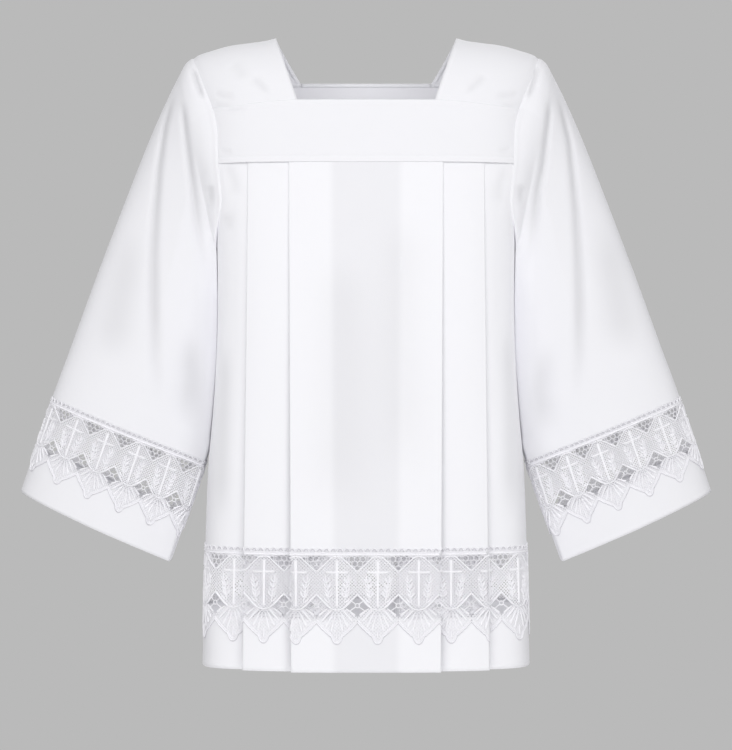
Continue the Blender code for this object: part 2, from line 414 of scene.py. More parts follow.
def pressCreases(mesh, creases, side):
    # pushes the side's points in by the creases, straight back, and paints shade into the colour by their
    # depth
    count = len(mesh.vertices)
    places, normals = np.empty(count * 3), np.empty(count * 3)
    mesh.vertices.foreach_get("co", places)
    mesh.vertex_normals.foreach_get("vector", normals)
    places, normals = places.reshape(-1, 3), normals.reshape(-1, 3)
    facing = normals[:, 1] * (-1 if side == "front" else 1)
    mask = np.clip(facing * pressing["facing"], 0, 1)
    depth = troughs(places[:, [0, 2]], creases) * mask
    places[:, 1] += depth * (1 if side == "front" else -1)
    # the crease depth is also kept in the attribute folds, as painted shade
    shades = mesh.attributes.get("folds") or mesh.attributes.new("folds", "FLOAT", "POINT")
    before = np.empty(count)
    shades.data.foreach_get("value", before)
    shades.data.foreach_set("value", np.clip(before + depth / pressing["deepFold"], 0, 1))
    mesh.vertices.foreach_set("co", places.ravel())
    mesh.update()


# painted light: cloth beside the fold between sleeve and body is painted lighter, standing in for light
# reaching it from both sides
paintedEdgeLight = {
    "x": 0.2125,
    "reach": 0.030,
    "heights": (-0.62, -0.46, -0.27, -0.19),  # where it starts, is full, is full to, and ends
}


def paintEdgeLight(mesh):
    places = np.empty(len(mesh.vertices) * 3)
    mesh.vertices.foreach_get("co", places)
    places = places.reshape(-1, 3)
    near = np.clip(1 - np.abs(np.abs(places[:, 0]) - paintedEdgeLight["x"]) / paintedEdgeLight["reach"], 0, 1)
    lift = near * np.interp(places[:, 2], paintedEdgeLight["heights"], (0, 1, 1, 0))
    # the painted light is kept in the attribute lift
    mesh.attributes.new("lift", "FLOAT", "POINT").data.foreach_set("value", lift)


def clothMesh(name, rows, flats, closed=False, layers=None, outward=None):
    # rows of points made a mesh, with flats as the same points' places on the flat cloth
    count = len(rows[0])
    spots = [tuple(point) for row in rows for point in row]
    faces, corners = [], []
    for r in range(len(rows) - 1):
        for n in range(count if closed else count - 1):
            after = (n + 1) % count
            faces.append((r * count + n, (r + 1) * count + n, (r + 1) * count + after, r * count + after))
            corners += [flats[r][n], flats[r + 1][n], flats[r + 1][n + 1], flats[r][n + 1]]
    mesh = bpy.data.meshes.new(name)
    mesh.from_pydata(spots, [], faces)
    uv = mesh.uv_layers.new(name="cloth")
    uv.data.foreach_set("uv", [number for corner in corners for number in corner])
    if layers:
        shown = mesh.attributes.new("layers", "FLOAT", "POINT")
        shown.data.foreach_set("value", [number for row in layers for number in row])
    mesh.update()
    if outward:
        # outward is a rough way out at the middle of the grid
        middle = mesh.polygons[len(mesh.polygons) // 2]
        if middle.normal.dot(outward(middle.center)) < 0:
            mesh.flip_normals()
    mesh.shade_smooth()
    return mesh


def addObject(name, mesh, material):
    obj = bpy.data.objects.new(name, mesh)
    bpy.context.scene.collection.objects.link(obj)
    if not mesh.materials:
        mesh.materials.append(material)
    return obj


def thicken(obj, wall):
    shell = obj.modifiers.new("wall", "SOLIDIFY")
    shell.thickness = wall
    shell.offset = 0.0
    shell.use_even_offset = True
    return obj


def standFor(piece, node):
    # a thin shell of cloth in the place of a node's solid
    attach(thicken(piece, garment["clothWall"]), "root")
    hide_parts(node)


def rowLengths(row):
    along = [0.0]
    for before, after in zip(row, row[1:]):
        along.append(along[-1] + math.dist(before, after))
    return along


pleats = {
    "depth": 0.0593,
    # fold's x at the yoke and at the hem
    "folds": [(0.1070, 0.1033), (0.1645, 0.1717)],
    # from a fold's outer layer to the layer behind it, at the yoke and at the hem
    "foldGaps": [(0.0009, 0.0032), (0.0015, 0.0050)],
    "innerGap": (0.0009, 0.0070),
    # painted light: how light the cloth is painted at the sides and between a pleat's layers
    "sideLayerLight": 0.95,
    "hiddenLayerLight": 0.3,
    "underlayFade": 0.012,  # across the underlay's edge
    "outerSteps": 24,
    "hiddenSteps": 8,
    "sideSteps": 26,
    "turnSteps": 6,
}


def halfPleatedRow(z, side):
    # from the middle out to the seam, as (x, y, painted layer light); the painted light is 1 where an
    # underlay lies behind
    yokeZ = garment["frontNeckZ"] - garment["bandHeight"]
    share = min(max((yokeZ - z) / (yokeZ - garment["hemZ"]), 0.0), 1.0)
    innerGap = mix(*pleats["innerGap"], share)
    middleDepth = abs(torsoY(0.0, z, side))

    def layerY(x, inset):
        return torsoY(x, z, side) * (1 - inset / middleDepth)

    def run(xFrom, xTo, inset, count, foldX):
        found = []
        for n in range(count):
            x = mix(xFrom, xTo, n / count)
            layer = smooth((x - foldX + pleats["depth"]) / pleats["underlayFade"] + 0.5)
            found.append((x, layerY(x, inset), layer))
        return found

    def turn(x, inset, gap, direction, layer):
        yOut, yIn = layerY(x, inset), layerY(x, inset + gap)
        radius = (yOut - yIn) / 2
        found = []
        for n in range(pleats["turnSteps"]):
            angle = math.pi * n / pleats["turnSteps"]
            found.append((
                x + direction * abs(radius) * math.sin(angle),
                (yOut + yIn) / 2 + radius * math.cos(angle),
                layer,
            ))
        return found

    row, x, inset = [], 0.0, 0.0
    for (foldTop, foldHem), gaps in zip(pleats["folds"], pleats["foldGaps"]):
        foldX, foldGap = mix(foldTop, foldHem, share), mix(*gaps, share)
        outX, inX = foldX - foldGap / 2, foldX - pleats["depth"] + innerGap / 2
        row += run(x, outX, inset, pleats["outerSteps"], foldX)
        row += turn(outX, inset, foldGap, 1, 1.0)
        inset += foldGap
        hidden = pleats["hiddenLayerLight"]
        row += [(px, py, hidden) for px, py, _ in run(outX, inX, inset, pleats["hiddenSteps"], 0.0)]
        row += turn(inX, inset, innerGap, -1, hidden)
        inset += innerGap
        x = inX
    for n in range(pleats["sideSteps"] + 1):
        along = math.sin(math.pi / 2 * n / pleats["sideSteps"])
        sideX = mix(x, edgeX(z), along)
        y = layerY(sideX, inset * (1 - along**4))
        row.append((sideX, y, pleats["sideLayerLight"]))
    return row


def pleatedRow(z, side):
    half = halfPleatedRow(z, side)
    return [(-x, y, layer) for x, y, layer in reversed(half[1:])] + half


def pleatedPiece(name, side, heights, widthZ):
    rows, layers, flats = [], [], []
    across = rowLengths([point[:2] for point in pleatedRow(widthZ, side)])
    for z in heights:
        row = pleatedRow(z, side)
        rows.append([(x, y, z) for x, y, _ in row])
        layers.append([layer for *_, layer in row])
        flats.append([(u - across[-1] / 2, z) for u in across])
    sign = -1 if side == "front" else 1
    mesh = clothMesh(name, rows, flats, layers=layers, outward=lambda at: Vector((0, sign, 0)))
    paintEdgeLight(mesh)
    return addObject(name, mesh, cloth), across[-1]


# creases seen from the front, as x and z, each with its width at both ends and its depth
bodyCreases = {
    "front": [
        crease([(-0.196, -0.176), (-0.186, -0.200), (-0.182, -0.228)], (0.006, 0.010), 0.0016),
        crease([(-0.199, -0.250), (-0.191, -0.262), (-0.184, -0.266)], (0.008, 0.008), 0.0018),
        crease([(0.198, -0.180), (0.189, -0.206), (0.184, -0.240)], (0.006, 0.010), 0.0016),
        crease([(-0.035, -0.300), (-0.031, -0.480), (-0.040, -0.690)], (0.030, 0.045), 0.0016),
        crease([(0.052, -0.240), (0.047, -0.420), (0.055, -0.640)], (0.024, 0.040), 0.0014),
        crease([(-0.198, -0.420), (-0.203, -0.560), (-0.207, -0.700)], (0.008, 0.014), 0.0030),
        crease([(0.199, -0.400), (0.204, -0.540), (0.206, -0.690)], (0.008, 0.013), 0.0026),
    ],
    "back": [
        crease([(-0.196, -0.132), (-0.187, -0.170), (-0.183, -0.210)], (0.006, 0.010), 0.0016),
        crease([(0.197, -0.128), (0.190, -0.166), (0.185, -0.222)], (0.006, 0.010), 0.0018),
        crease([(0.032, -0.260), (0.038, -0.450), (0.030, -0.690)], (0.028, 0.045), 0.0018),
        crease([(-0.055, -0.220), (-0.050, -0.400), (-0.058, -0.620)], (0.024, 0.038), 0.0014),
    ],
}

bodyPieces = {
    "laceTop": 0.1715,
    "panelEnd": 0.161,
    "bandTop": 0.0745,
    "laceTip": 0.040,
    "panelRows": 57,
    "bandRows": 12,
    "panelShare": 0.955,  # what the armholes leave of the panel's rectangle
}


def bodyOf(side):
    hemZ = garment["hemZ"]
    topZ = neckZ(side) - garment["bandHeight"] + garment["panelTuck"]
    laceZ = hemZ + bodyPieces["bandTop"]
    heights = steps(topZ, hemZ + bodyPieces["panelEnd"], bodyPieces["panelRows"])
    panel, width = pleatedPiece("panel" + side.title(), side, heights, laceZ)
    pressCreases(panel.data, bodyCreases[side], side)
    standFor(panel, "panel_" + side)
    length = heights[0] - heights[-1]
    area = bodyPieces["panelShare"] * width * length
    heights = steps(laceZ, hemZ, bodyPieces["bandRows"])
    band, width = pleatedPiece("hemBand" + side.title(), side, heights, laceZ)
    standFor(band, "hem_band_" + side)
    length = heights[0] - heights[-1]
    return width


hemWidths = {side: bodyOf(side) for side in ("front", "back")}
print("body made", hemWidths)

yoke = {
    "columns": 170,
    "rows": 60,
    "hemLine": 0.0085,  # topstitching, above the band's lower edge
    "hemStep": 0.0002,
    "dent": 0.00045,
    "neckLine": 0.0058,  # topstitching, below the band's upper edge
    "neckDent": 0.00035,
    # painted light: how much lighter the bands and straps are painted
    "layers": {"front": 0.40, "back": 0.85},
    "turnedLayerLight": 0.15,
    "stitchWidth": 0.0012,  # of the dent along a stitched line
}

# the strip of cloth turned in round the neck's edge, inside the bands and the straps
turnedHem = {
    "gap": 0.0001,  # from the cloth it lies on
    "columns": 40,
    "turns": 24,
    "strapShares": (0.002, 0.022, 0.044),  # across the strap, from the neck
    "strapEnds": (0.05, 0.02),  # how far up the strap it starts, in front and at the back
    "below": 0.0002,  # the bands' upper edge
    # painted light of the turned strip
    "layers": 0.8,
}


def bandZ(share, side):
    # the band's upper edge, where share is -1 and 1 at the armholes
    neck = garment["neckHalf"][side] / edgeX(neckZ(side))
    return seamZ(max(abs(share) - neck, 0) / (1 - neck), side)


def neckHem():
    spots, faces, wall = [], [], garment["clothWall"] / 2
    inset = turnedHem["gap"] + (garment["clothWall"] + wall) / 2

    def layGrid(rows):
        first, count = len(spots), len(rows[0])
        spots.extend(point for row in rows for point in row)
        for r in range(len(rows) - 1):
            for n in range(count - 1):
                at = first + r * count + n
                faces.append((at, at + count, at + count + 1, at + 1))

    outward = garment["lap"] - inset - yoke["neckDent"]
    for side in ("front", "back"):
        top, half = neckZ(side), garment["neckHalf"][side]
        across = steps(-half, half, turnedHem["columns"])
        heights = (top - turnedHem["below"], top - yoke["neckLine"])
        layGrid([[(x, torsoY(x, z, side, outward), z) for x in across] for z in heights])
    frontEnd, backEnd = turnedHem["strapEnds"]
    for sign in (1, -1):
        rows = []
        for across in turnedHem["strapShares"]:
            row = [strapPoint(across, turn, "front") for turn in steps(frontEnd, 1, turnedHem["turns"])]
            row += [strapPoint(across, turn, "back") for turn in steps(1, backEnd, turnedHem["turns"])][1:]
            row = [point + (strapMiddle - point).normalized() * inset for point in row]
            rows.append([handed(point, sign) for point in row])
        layGrid(rows)
    mesh = bpy.data.meshes.new("neckHem")
    mesh.from_pydata(spots, [], faces)
    flats = [(spots[loop.vertex_index][0], spots[loop.vertex_index][2]) for loop in mesh.loops]
    mesh.uv_layers.new(name="cloth").data.foreach_set("uv", [number for flat in flats for number in flat])
    layers = mesh.attributes.new("layers", "FLOAT", "POINT")
    layers.data.foreach_set("value", [turnedHem["layers"]] * len(spots))
    mesh.shade_smooth()
    hem = addObject("neckHem", mesh, cloth)
    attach(thicken(hem, wall), "root")


def yokeOf(side):
    rows, flats = [], []
    sign = -1 if side == "front" else 1
    lowest = neckZ(side) - garment["bandHeight"]
    for down in steps(0.0, 1.0, yoke["rows"]):
        row = []
        for n in range(-yoke["columns"] // 2, yoke["columns"] // 2 + 1):
            share = math.sin(math.pi * n / yoke["columns"])
            z = mix(bandZ(share, side), lowest, down)
            x = edgeX(z) * share
            lift = garment["lap"]
            # the stitched line draws the cloth in, and below it the turned hem is thicker
            above = z - lowest - yoke["hemLine"]
            lift += yoke["hemStep"] * (1 - smooth(above / yoke["stitchWidth"] + 0.5))
            lift -= yoke["dent"] * math.exp(-((above / yoke["stitchWidth"]) ** 2))
            below = bandZ(share, side) - z - yoke["neckLine"]
            lift -= yoke["neckDent"] * math.exp(-((below / yoke["stitchWidth"]) ** 2))
            row.append((x, torsoY(x, z, side, lift), z))
        rows.append(row)
        along = rowLengths(row)
        flats.append([(u - along[-1] / 2, z) for u, (_, _, z) in zip(along, row)])
    name = "yoke" + side.title()
    # the hems turned in at both edges are thicker, and painted lighter
    turnedTop = round(yoke["rows"] * yoke["neckLine"] / garment["bandHeight"])
    turnedFoot = round(yoke["rows"] * (1 - yoke["hemLine"] / garment["bandHeight"]))
    layers = []
    for n, row in enumerate(rows):
        more = 0.0 if turnedTop <= n <= turnedFoot else yoke["turnedLayerLight"]
        layers.append([yoke["layers"][side] + more] * len(row))
    mesh = clothMesh(name, rows, flats, layers=layers, outward=lambda at: Vector((0, sign, 0)))
    band = addObject(name, mesh, cloth)
    pressCreases(mesh, yokeCreases[side], side)
    width = flats[0][-1][0] * 2
    standFor(band, "yoke_" + side)


yokeCreases = {
    "front": [
        crease([(-0.205, -0.160), (-0.196, -0.163), (-0.186, -0.162)], (0.004, 0.004), 0.0009),
        crease([(0.203, -0.155), (0.195, -0.162), (0.184, -0.163)], (0.004, 0.004), 0.0009),
        crease([(-0.200, -0.100), (-0.185, -0.104), (-0.165, -0.102)], (0.004, 0.006), 0.0007),
    ],
    "back": [
        crease([(-0.205, -0.110), (-0.194, -0.114), (-0.182, -0.112)], (0.004, 0.004), 0.0009),
        crease([(0.205, -0.060), (0.190, -0.066), (0.172, -0.063)], (0.004, 0.006), 0.0008),
    ],
}
neckHem()
for side in ("front", "back"):
    yokeOf(side)

straps = {"columns": 44, "turns": 34}
strapCreases = {
    "left": [
        crease([(0.168, -0.054), (0.155, -0.068), (0.139, -0.083)], (0.006, 0.004), 0.0020),
        crease([(0.216, -0.078), (0.200, -0.083), (0.180, -0.084)], (0.004, 0.005), 0.0016),
        crease([(0.214, -0.094), (0.200, -0.097), (0.186, -0.097)], (0.002, 0.002), 0.0010),
    ],
    "right": [
        crease([(-0.160, -0.058), (-0.149, -0.068), (-0.136, -0.083)], (0.006, 0.004), 0.0022),
        crease([(-0.214, -0.078), (-0.200, -0.083), (-0.183, -0.084)], (0.004, 0.005), 0.0017),
        crease([(-0.214, -0.094), (-0.200, -0.097), (-0.188, -0.097)], (0.002, 0.002), 0.0010),
        crease([(-0.190, -0.034), (-0.178, -0.046), (-0.170, -0.062)], (0.009, 0.008), 0.0012),
    ],
}


def strapOf(hand):
    sign = 1 if hand == "left" else -1
    shares = [math.sin(math.pi / 2 * n / straps["columns"]) for n in range(straps["columns"] + 1)]

    def tucked(side):
        row = []
        for share in shares:
            z = seamZ(share, side) - garment["strapTuck"]
            x = mix(garment["neckHalf"][side], edgeX(z), share)
            row.append(Vector((x, torsoY(x, z, side), z)))
        return row

    count = straps["turns"]
    front = [[strapPoint(share, turn, "front") for share in shares] for turn in steps(0, 1, count)]
    back = [[strapPoint(share, turn, "back") for share in shares] for turn in steps(1, 0, count)][1:]
    rows = [tucked("front"), *front, *back, tucked("back")]
    middle = rowLengths([row[len(shares) // 2] for row in rows])
    flats = []
    for row, down in zip(rows, middle):
        flats.append([(u, -down) for u in rowLengths(row)])
    rows = [[handed(p, sign) for p in row] for row in rows]
    name = "shoulder" + hand.title()
    inner = handed(strapMiddle, sign)
    layers = [[yoke["layers"]["front"]] * len(row) for row in rows]
    mesh = clothMesh(name, rows, flats, layers=layers, outward=lambda at: Vector(at) - inner)
    pressCreases(mesh, strapCreases[hand], "front")
    strap = addObject(name, mesh, cloth)
    standFor(strap, "shoulder_" + hand)
    width, length = max(row[-1][0] for row in flats), middle[-1]
    area = sum(face.area for face in mesh.polygons)
    min(area, width * length)


for hand in ("left", "right"):
    strapOf(hand)
print("yoke made")

sleeves = {
    "roundness": 2.5,  # of the outer half
    "thinning": 1.35,  # how late the inner half grows thin
    "corner": 0.0016,  # how soon the pressed fold by the body turns
    "around": 220,
    "rows": 82,
    # rings close up towards the seam, where the cloth turns in
    "headRings": [*steps(0.0, 0.16, 10), 0.19, 0.23, 0.28, 0.34, 0.42, 0.52, 0.64, 0.76, 0.88],
    "bandRows": 14,
    # painted light of the sleeves' cloth
    "layers": 0.3,
    "swell": 0.0040,
    "hug": 0.9,  # how far the pressed fold follows the body's rounding
    "hugStart": 0.8,  # from this share of the section inwards
    "ridge": (0.0009, 0.0040, 0.0032),  # beside the armhole's seam: height, distance, width
    # outer x, outer z, inner x, inner z, half depth in the middle, half depth at the fold by the body
    "sections": [
        (0.2660, -0.037, 0.2140, -0.300, 0.080, 0.048),
        (0.2860, -0.076, 0.2134, -0.335, 0.070, 0.036),
        (0.3120, -0.134, 0.2131, -0.375, 0.062, 0.027),
        (0.3460, -0.219, 0.2145, -0.440, 0.054, 0.019),
        (0.3886, -0.330, 0.2178, -0.495, 0.051, 0.017),
        (0.4280, -0.438, 0.2238, -0.558, 0.051, 0.017),
        (0.4524, -0.504, 0.2310, -0.597, 0.052, 0.018),
        (0.4988, -0.642, 0.2830, -0.743, 0.056, 0.024),
    ],
    # places between the last two sections
    "laceTop": 0.0,
    "sleeveEnd": 0.07,
    "bandTop": 0.60,
    "laceTip": 0.79,
}
sectionRows = [(n + 1, *row) for n, row in enumerate(sleeves["sections"])]
headMiddle = Vector((0.19, 0, -0.16))


def evenly(path, count):
    # points at even distances along a path
    lengths = rowLengths(path)
    found, at = [], 0
    for n in range(count):
        goal = lengths[-1] * n / count
        while lengths[at + 1] < goal:
            at += 1
        found.append(path[at].lerp(path[at + 1], (goal - lengths[at]) / (lengths[at + 1] - lengths[at])))
    return [*found, path[-1]]


def sectionHalf(station, side):
    # a section's front or back half, from the outer edge to the fold by the body
    values = [readRows(sectionRows, station, column) for column in range(1, 7)]
    outer, inner = Vector((values[0], 0, values[1])), Vector((values[2], 0, values[3]))
    belly, fold = values[4:]
    length = (outer - inner).length
    corner = sleeves["corner"] / length
    shares = [(1 - corner) * (1 - math.cos(t)) / 2 for t in steps(0, math.pi, 90)]
    shares += [1 - corner * (1 - math.sin(t)) for t in steps(0, math.pi / 2, 8)][1:]
    found = []
    for share in shares:
        if share < 0.5:
            depth = belly * rounded(1 - 2 * share, sleeves["roundness"])
        else:
            depth = mix(belly, fold, (2 * share - 1) ** sleeves["thinning"])
            depth *= rounded(max(share - 1 + corner, 0) / corner, 2)
        point = outer.lerp(inner, share)
        point.y = depth * (-1 if side == "front" else 1)
        if point.z < garment["underarmZ"]:
            reach = torsoY(0, point.z, "front")
            hollow = torsoWidth(point.z) * (1 - rounded(point.y / reach, garment["torsoPower"]))
            start = sleeves["hugStart"]
            point.x -= sleeves["hug"] * hollow * smooth((share - start) / (1 - start))
        found.append(point)
    return found


def seamHalf(side):
    return [armholePoint((1 - math.cos(t)) / 2, side) for t in steps(0, math.pi, 120)]


def headPoint(seam, first, station):
    # the sleeve's head swells out of the seam, with a pressed ridge beside it
    height, distance, width = sleeves["ridge"]
    away = (first - seam).length * station
    rise = sleeves["swell"] * math.sin(math.pi * station)
    rise += height * math.exp(-(((away - distance) / width) ** 2))
    return seam.lerp(first, station) + (seam - headMiddle).normalized() * rise


def sleeveRing(station):
    # station 0 is the armhole's seam, and 1 to 8 are the sections
    halves = []
    for side in ("front", "back"):
        half = evenly(sectionHalf(max(station, 1.0), side), sleeves["around"] // 2)
        if station < 1:
            seam = evenly(seamHalf(side), sleeves["around"] // 2)
            half = [headPoint(a, b, station) for a, b in zip(seam, half)]
        halves.append(half)
    return halves[0] + halves[1][-2:0:-1]


cuffRing = sleeveRing(7.5)
cuffRound = rowLengths([*cuffRing, cuffRing[0]])[-1]


def sleeveRings(stations, sign):
    rows, flats, down = [], [], 0.0
    for station in stations:
        ring = sleeveRing(station)
        if rows:
            down += sum(math.dist(a, b) for a, b in zip(ring, rows[-1])) / len(ring)
        rows.append(ring)
        flats.append([(cuffRound * n / sleeves["around"], -down) for n in range(sleeves["around"] + 1)])
    shown = [[handed(p, sign) for p in ring] for ring in rows]
    return shown, flats


sleeveCreases = {
    "right": {
        "front": [
            crease(
                [(-0.272, -0.066), (-0.278, -0.088), (-0.286, -0.117), (-0.295, -0.178),
                 (-0.300, -0.240), (-0.303, -0.300), (-0.303, -0.373), (-0.300, -0.450),
                 (-0.294, -0.530)],
                (0.0046, 0.0095), 0.0046, (0.10, 0.35),
            ),
            crease(
                [(-0.261, -0.082), (-0.258, -0.105), (-0.253, -0.148), (-0.248, -0.188),
                 (-0.240, -0.254), (-0.234, -0.300), (-0.230, -0.355)],
                (0.0048, 0.0072), 0.0042, (0.12, 0.5),
            ),
            crease(
                [(-0.250, -0.034), (-0.243, -0.050), (-0.234, -0.076), (-0.229, -0.088)],
                (0.0036, 0.0040), 0.0044, (0.3, 0.25),
            ),
            crease(
                [(-0.220, -0.206), (-0.219, -0.216), (-0.217, -0.245)],
                (0.0058, 0.0045), 0.0036, (0.2, 0.6),
            ),
            crease(
                [(-0.330, -0.250), (-0.352, -0.360), (-0.372, -0.470)],
                (0.020, 0.030), 0.0030, (0.4, 0.3),
            ),
            crease(
                [(-0.255, -0.400), (-0.250, -0.480), (-0.256, -0.560)],
                (0.012, 0.020), 0.0035, (0.4, 0.4),
            ),
        ],
        "back": [
            crease(
                [(-0.262, -0.075), (-0.282, -0.160), (-0.300, -0.290), (-0.303, -0.430),
                 (-0.296, -0.530)],
                (0.005, 0.012), 0.0080, (0.12, 0.3),
            ),
            crease(
                [(-0.247, -0.100), (-0.240, -0.180), (-0.232, -0.270), (-0.229, -0.340)],
                (0.005, 0.009), 0.0060, (0.2, 0.5),
            ),
            crease(
                [(-0.345, -0.270), (-0.362, -0.380), (-0.380, -0.470)],
                (0.018, 0.028), 0.0030, (0.4, 0.3),
            ),
        ],
    },
    "left": {
        "front": [
            crease(
                [(0.272, -0.068), (0.278, -0.092), (0.290, -0.141), (0.295, -0.188), (0.300, -0.240),
                 (0.303, -0.300), (0.305, -0.380), (0.304, -0.450), (0.299, -0.530)],
                (0.0046, 0.0095), 0.0046, (0.10, 0.35),
            ),
            crease(
                [(0.261, -0.080), (0.258, -0.117), (0.254, -0.148), (0.251, -0.177), (0.244, -0.214),
                 (0.240, -0.254), (0.236, -0.294), (0.233, -0.335)],
                (0.0048, 0.0072), 0.0042, (0.12, 0.45),
            ),
            crease(
                [(0.249, -0.030), (0.243, -0.043), (0.234, -0.072), (0.228, -0.088)],
                (0.0036, 0.0040), 0.0042, (0.3, 0.25),
            ),
            crease(
                [(0.220, -0.206), (0.219, -0.214), (0.217, -0.240)],
                (0.0060, 0.0045), 0.0036, (0.2, 0.6),
            ),
            crease([(0.336, -0.240), (0.358, -0.350), (0.378, -0.460)], (0.020, 0.030), 0.0030, (0.4, 0.3)),
            crease([(0.258, -0.420), (0.252, -0.500), (0.262, -0.575)], (0.012, 0.018), 0.0030, (0.4, 0.4)),
        ],
        "back": [
            crease(
                [(0.266, -0.080), (0.284, -0.180), (0.297, -0.300), (0.301, -0.420), (0.292, -0.520)],
                (0.005, 0.012), 0.0075, (0.12, 0.3),
            ),
            crease(
                [(0.245, -0.095), (0.239, -0.170), (0.231, -0.250), (0.227, -0.320)],
                (0.005, 0.009), 0.0065, (0.2, 0.5),
            ),
            crease([(0.350, -0.290), (0.368, -0.390), (0.384, -0.470)], (0.018, 0.028), 0.0028, (0.4, 0.3)),
        ],
    },
}


def tubePiece(name, node, stations, sign, creases):
    rows, flats = sleeveRings(stations, sign)
    layers = [[sleeves["layers"]] * len(row) for row in rows]
    mesh = clothMesh(name, rows, flats, closed=True, layers=layers)
    probe = mesh.polygons[sleeves["around"] // 4]
    if probe.normal.y > 0:
        mesh.flip_normals()
    for side in creases:
        pressCreases(mesh, creases[side], side)
    paintEdgeLight(mesh)
    tube = addObject(name, mesh, cloth)
    standFor(tube, node)
    length = flats[0][0][1] - flats[-1][0][1]
    area = sum(face.area for face in mesh.polygons)
    widest = max(area / length, cuffRound)
    area = min(area, widest * length)


def sleeveOf(hand):
    sign = 1 if hand == "left" else -1
    tail = len(sleeves["sections"]) - 1
    title = hand.title()
    stations = sleeves["headRings"] + steps(1.0, tail + sleeves["sleeveEnd"], sleeves["rows"])
    tubePiece("sleeve" + title, "sleeve_" + hand, stations, sign, sleeveCreases[hand])
    stations = steps(tail + sleeves["bandTop"], tail + 1.0, sleeves["bandRows"])
    tubePiece("cuffBand" + title, "cuff_band_" + hand, stations, sign, {})


for hand in ("left", "right"):
    sleeveOf(hand)
print("sleeves made")


class GeometryGraph(Graph):
    def __init__(self, name, inputs):
        super().__init__(bpy.data.node_groups.new(name, "GeometryNodeTree"))
        face = self.tree.interface
        for label, kind in (("Geometry", "NodeSocketGeometry"), *inputs):
            face.new_socket(label, in_out="INPUT", socket_type=kind)
        face.new_socket("Geometry", in_out="OUTPUT", socket_type="NodeSocketGeometry")
        self.entry = self.node("NodeGroupInput")

    def given(self, name):
        return self.entry.value(name)

    def vector(self, name):
        return self.node("GeometryNodeInputNamedAttribute", {"data_type": "FLOAT_VECTOR"}, {
            "Name": name,
        }).value()

    def end(self, geometry):
        real = self.node("GeometryNodeRealizeInstances", None, {"Geometry": geometry}).value()
        done = self.node("GeometryNodeSetMaterial", None, {
            "Geometry": real, "Material": self.given("Material"),
        })
        self.node("NodeGroupOutput", None, {0: done.value()})


def grow(name, mesh, graph, inputs):
    # the tree's result on a mesh, as a plain object
    seed = bpy.data.objects.new(name + "Seed", mesh)
    bpy.context.scene.collection.objects.link(seed)
    live = seed.modifiers.new("grown", "NODES")
    live.node_group = graph.tree
    for item in graph.tree.interface.items_tree:
        if item.item_type == "SOCKET" and item.in_out == "INPUT" and item.name in inputs:
            live[item.identifier] = inputs[item.name]
    bpy.context.view_layer.update()
    evaluated = seed.evaluated_get(bpy.context.evaluated_depsgraph_get())
    made = bpy.data.meshes.new_from_object(evaluated)
    made.name = name
    bpy.data.objects.remove(seed)
    obj = bpy.data.objects.new(name, made)
    bpy.context.scene.collection.objects.link(obj)
    return obj


stitching = {
    "spacing": 0.0031,
    "length": 0.0023,
    "width": 0.00050,
    "height": 0.00030,
    "tone": 0.8,
    "bandPoints": 120,  # along a band's line
    "bandReach": 0.985,  # of the way to the armhole
    "tilt": 0.6,  # how far stitches turn with the band's rounding
    "strapPoints": 30,  # along the front of a strap's line, and as many behind
    "strapShare": 0.05,  # across the strap, from the neck
    "strapEnd": 0.02,
}


def stitchGraph():
    # one domed stitch at even distances along each line, turned to face out of the cloth
    graph = GeometryGraph("stitchLines", (
        ("Spacing", "NodeSocketFloat"),
        ("Length", "NodeSocketFloat"),
        ("Width", "NodeSocketFloat"),
        ("Height", "NodeSocketFloat"),
        ("Material", "NodeSocketMaterial"),
    ))
    facing = graph.vector("facing")
    line = graph.node("GeometryNodeMeshToCurve", None, {"Mesh": graph.given("Geometry")}).value()
    even = graph.node("GeometryNodeResampleCurve", {"mode": "LENGTH"}, {
        "Curve": line, "Length": graph.given("Spacing"),
    }).value()
    turn = graph.node("FunctionNodeAxesToRotation", {"primary_axis": "X", "secondary_axis": "Z"}, {
        "Primary Axis": graph.node("GeometryNodeInputTangent").value(), "Secondary Axis": facing,
    }).value()
    dome = graph.node("GeometryNodeMeshUVSphere", None, {"Segments": 6, "Rings": 4, "Radius": 0.5}).value()
    size = graph.node("ShaderNodeCombineXYZ", None, {
        "X": graph.given("Length"), "Y": graph.given("Width"), "Z": graph.given("Height"),
    }).value()
    sewn = graph.node("GeometryNodeInstanceOnPoints", None, {
        "Points": even, "Instance": dome, "Rotation": turn, "Scale": size,
    }).value()
    solid = graph.node("GeometryNodeRealizeInstances", None, {"Geometry": sewn}).value()
    apart = graph.node("ShaderNodeSeparateXYZ", None, {0: graph.node("GeometryNodeInputPosition").value()})
    flat = graph.node("ShaderNodeCombineXYZ", None, {"X": apart.value("X"), "Y": apart.value("Z")}).value()
    mapped = graph.node("GeometryNodeStoreNamedAttribute", {"data_type": "FLOAT2", "domain": "CORNER"}, {
        "Geometry": solid, "Name": "cloth", "Value": flat,
    }).value()
    toned = graph.node("GeometryNodeStoreNamedAttribute", {"data_type": "FLOAT", "domain": "POINT"}, {
        "Geometry": mapped, "Name": "tone", "Value": stitching["tone"],
    }).value()
    graph.end(toned)
    return graph


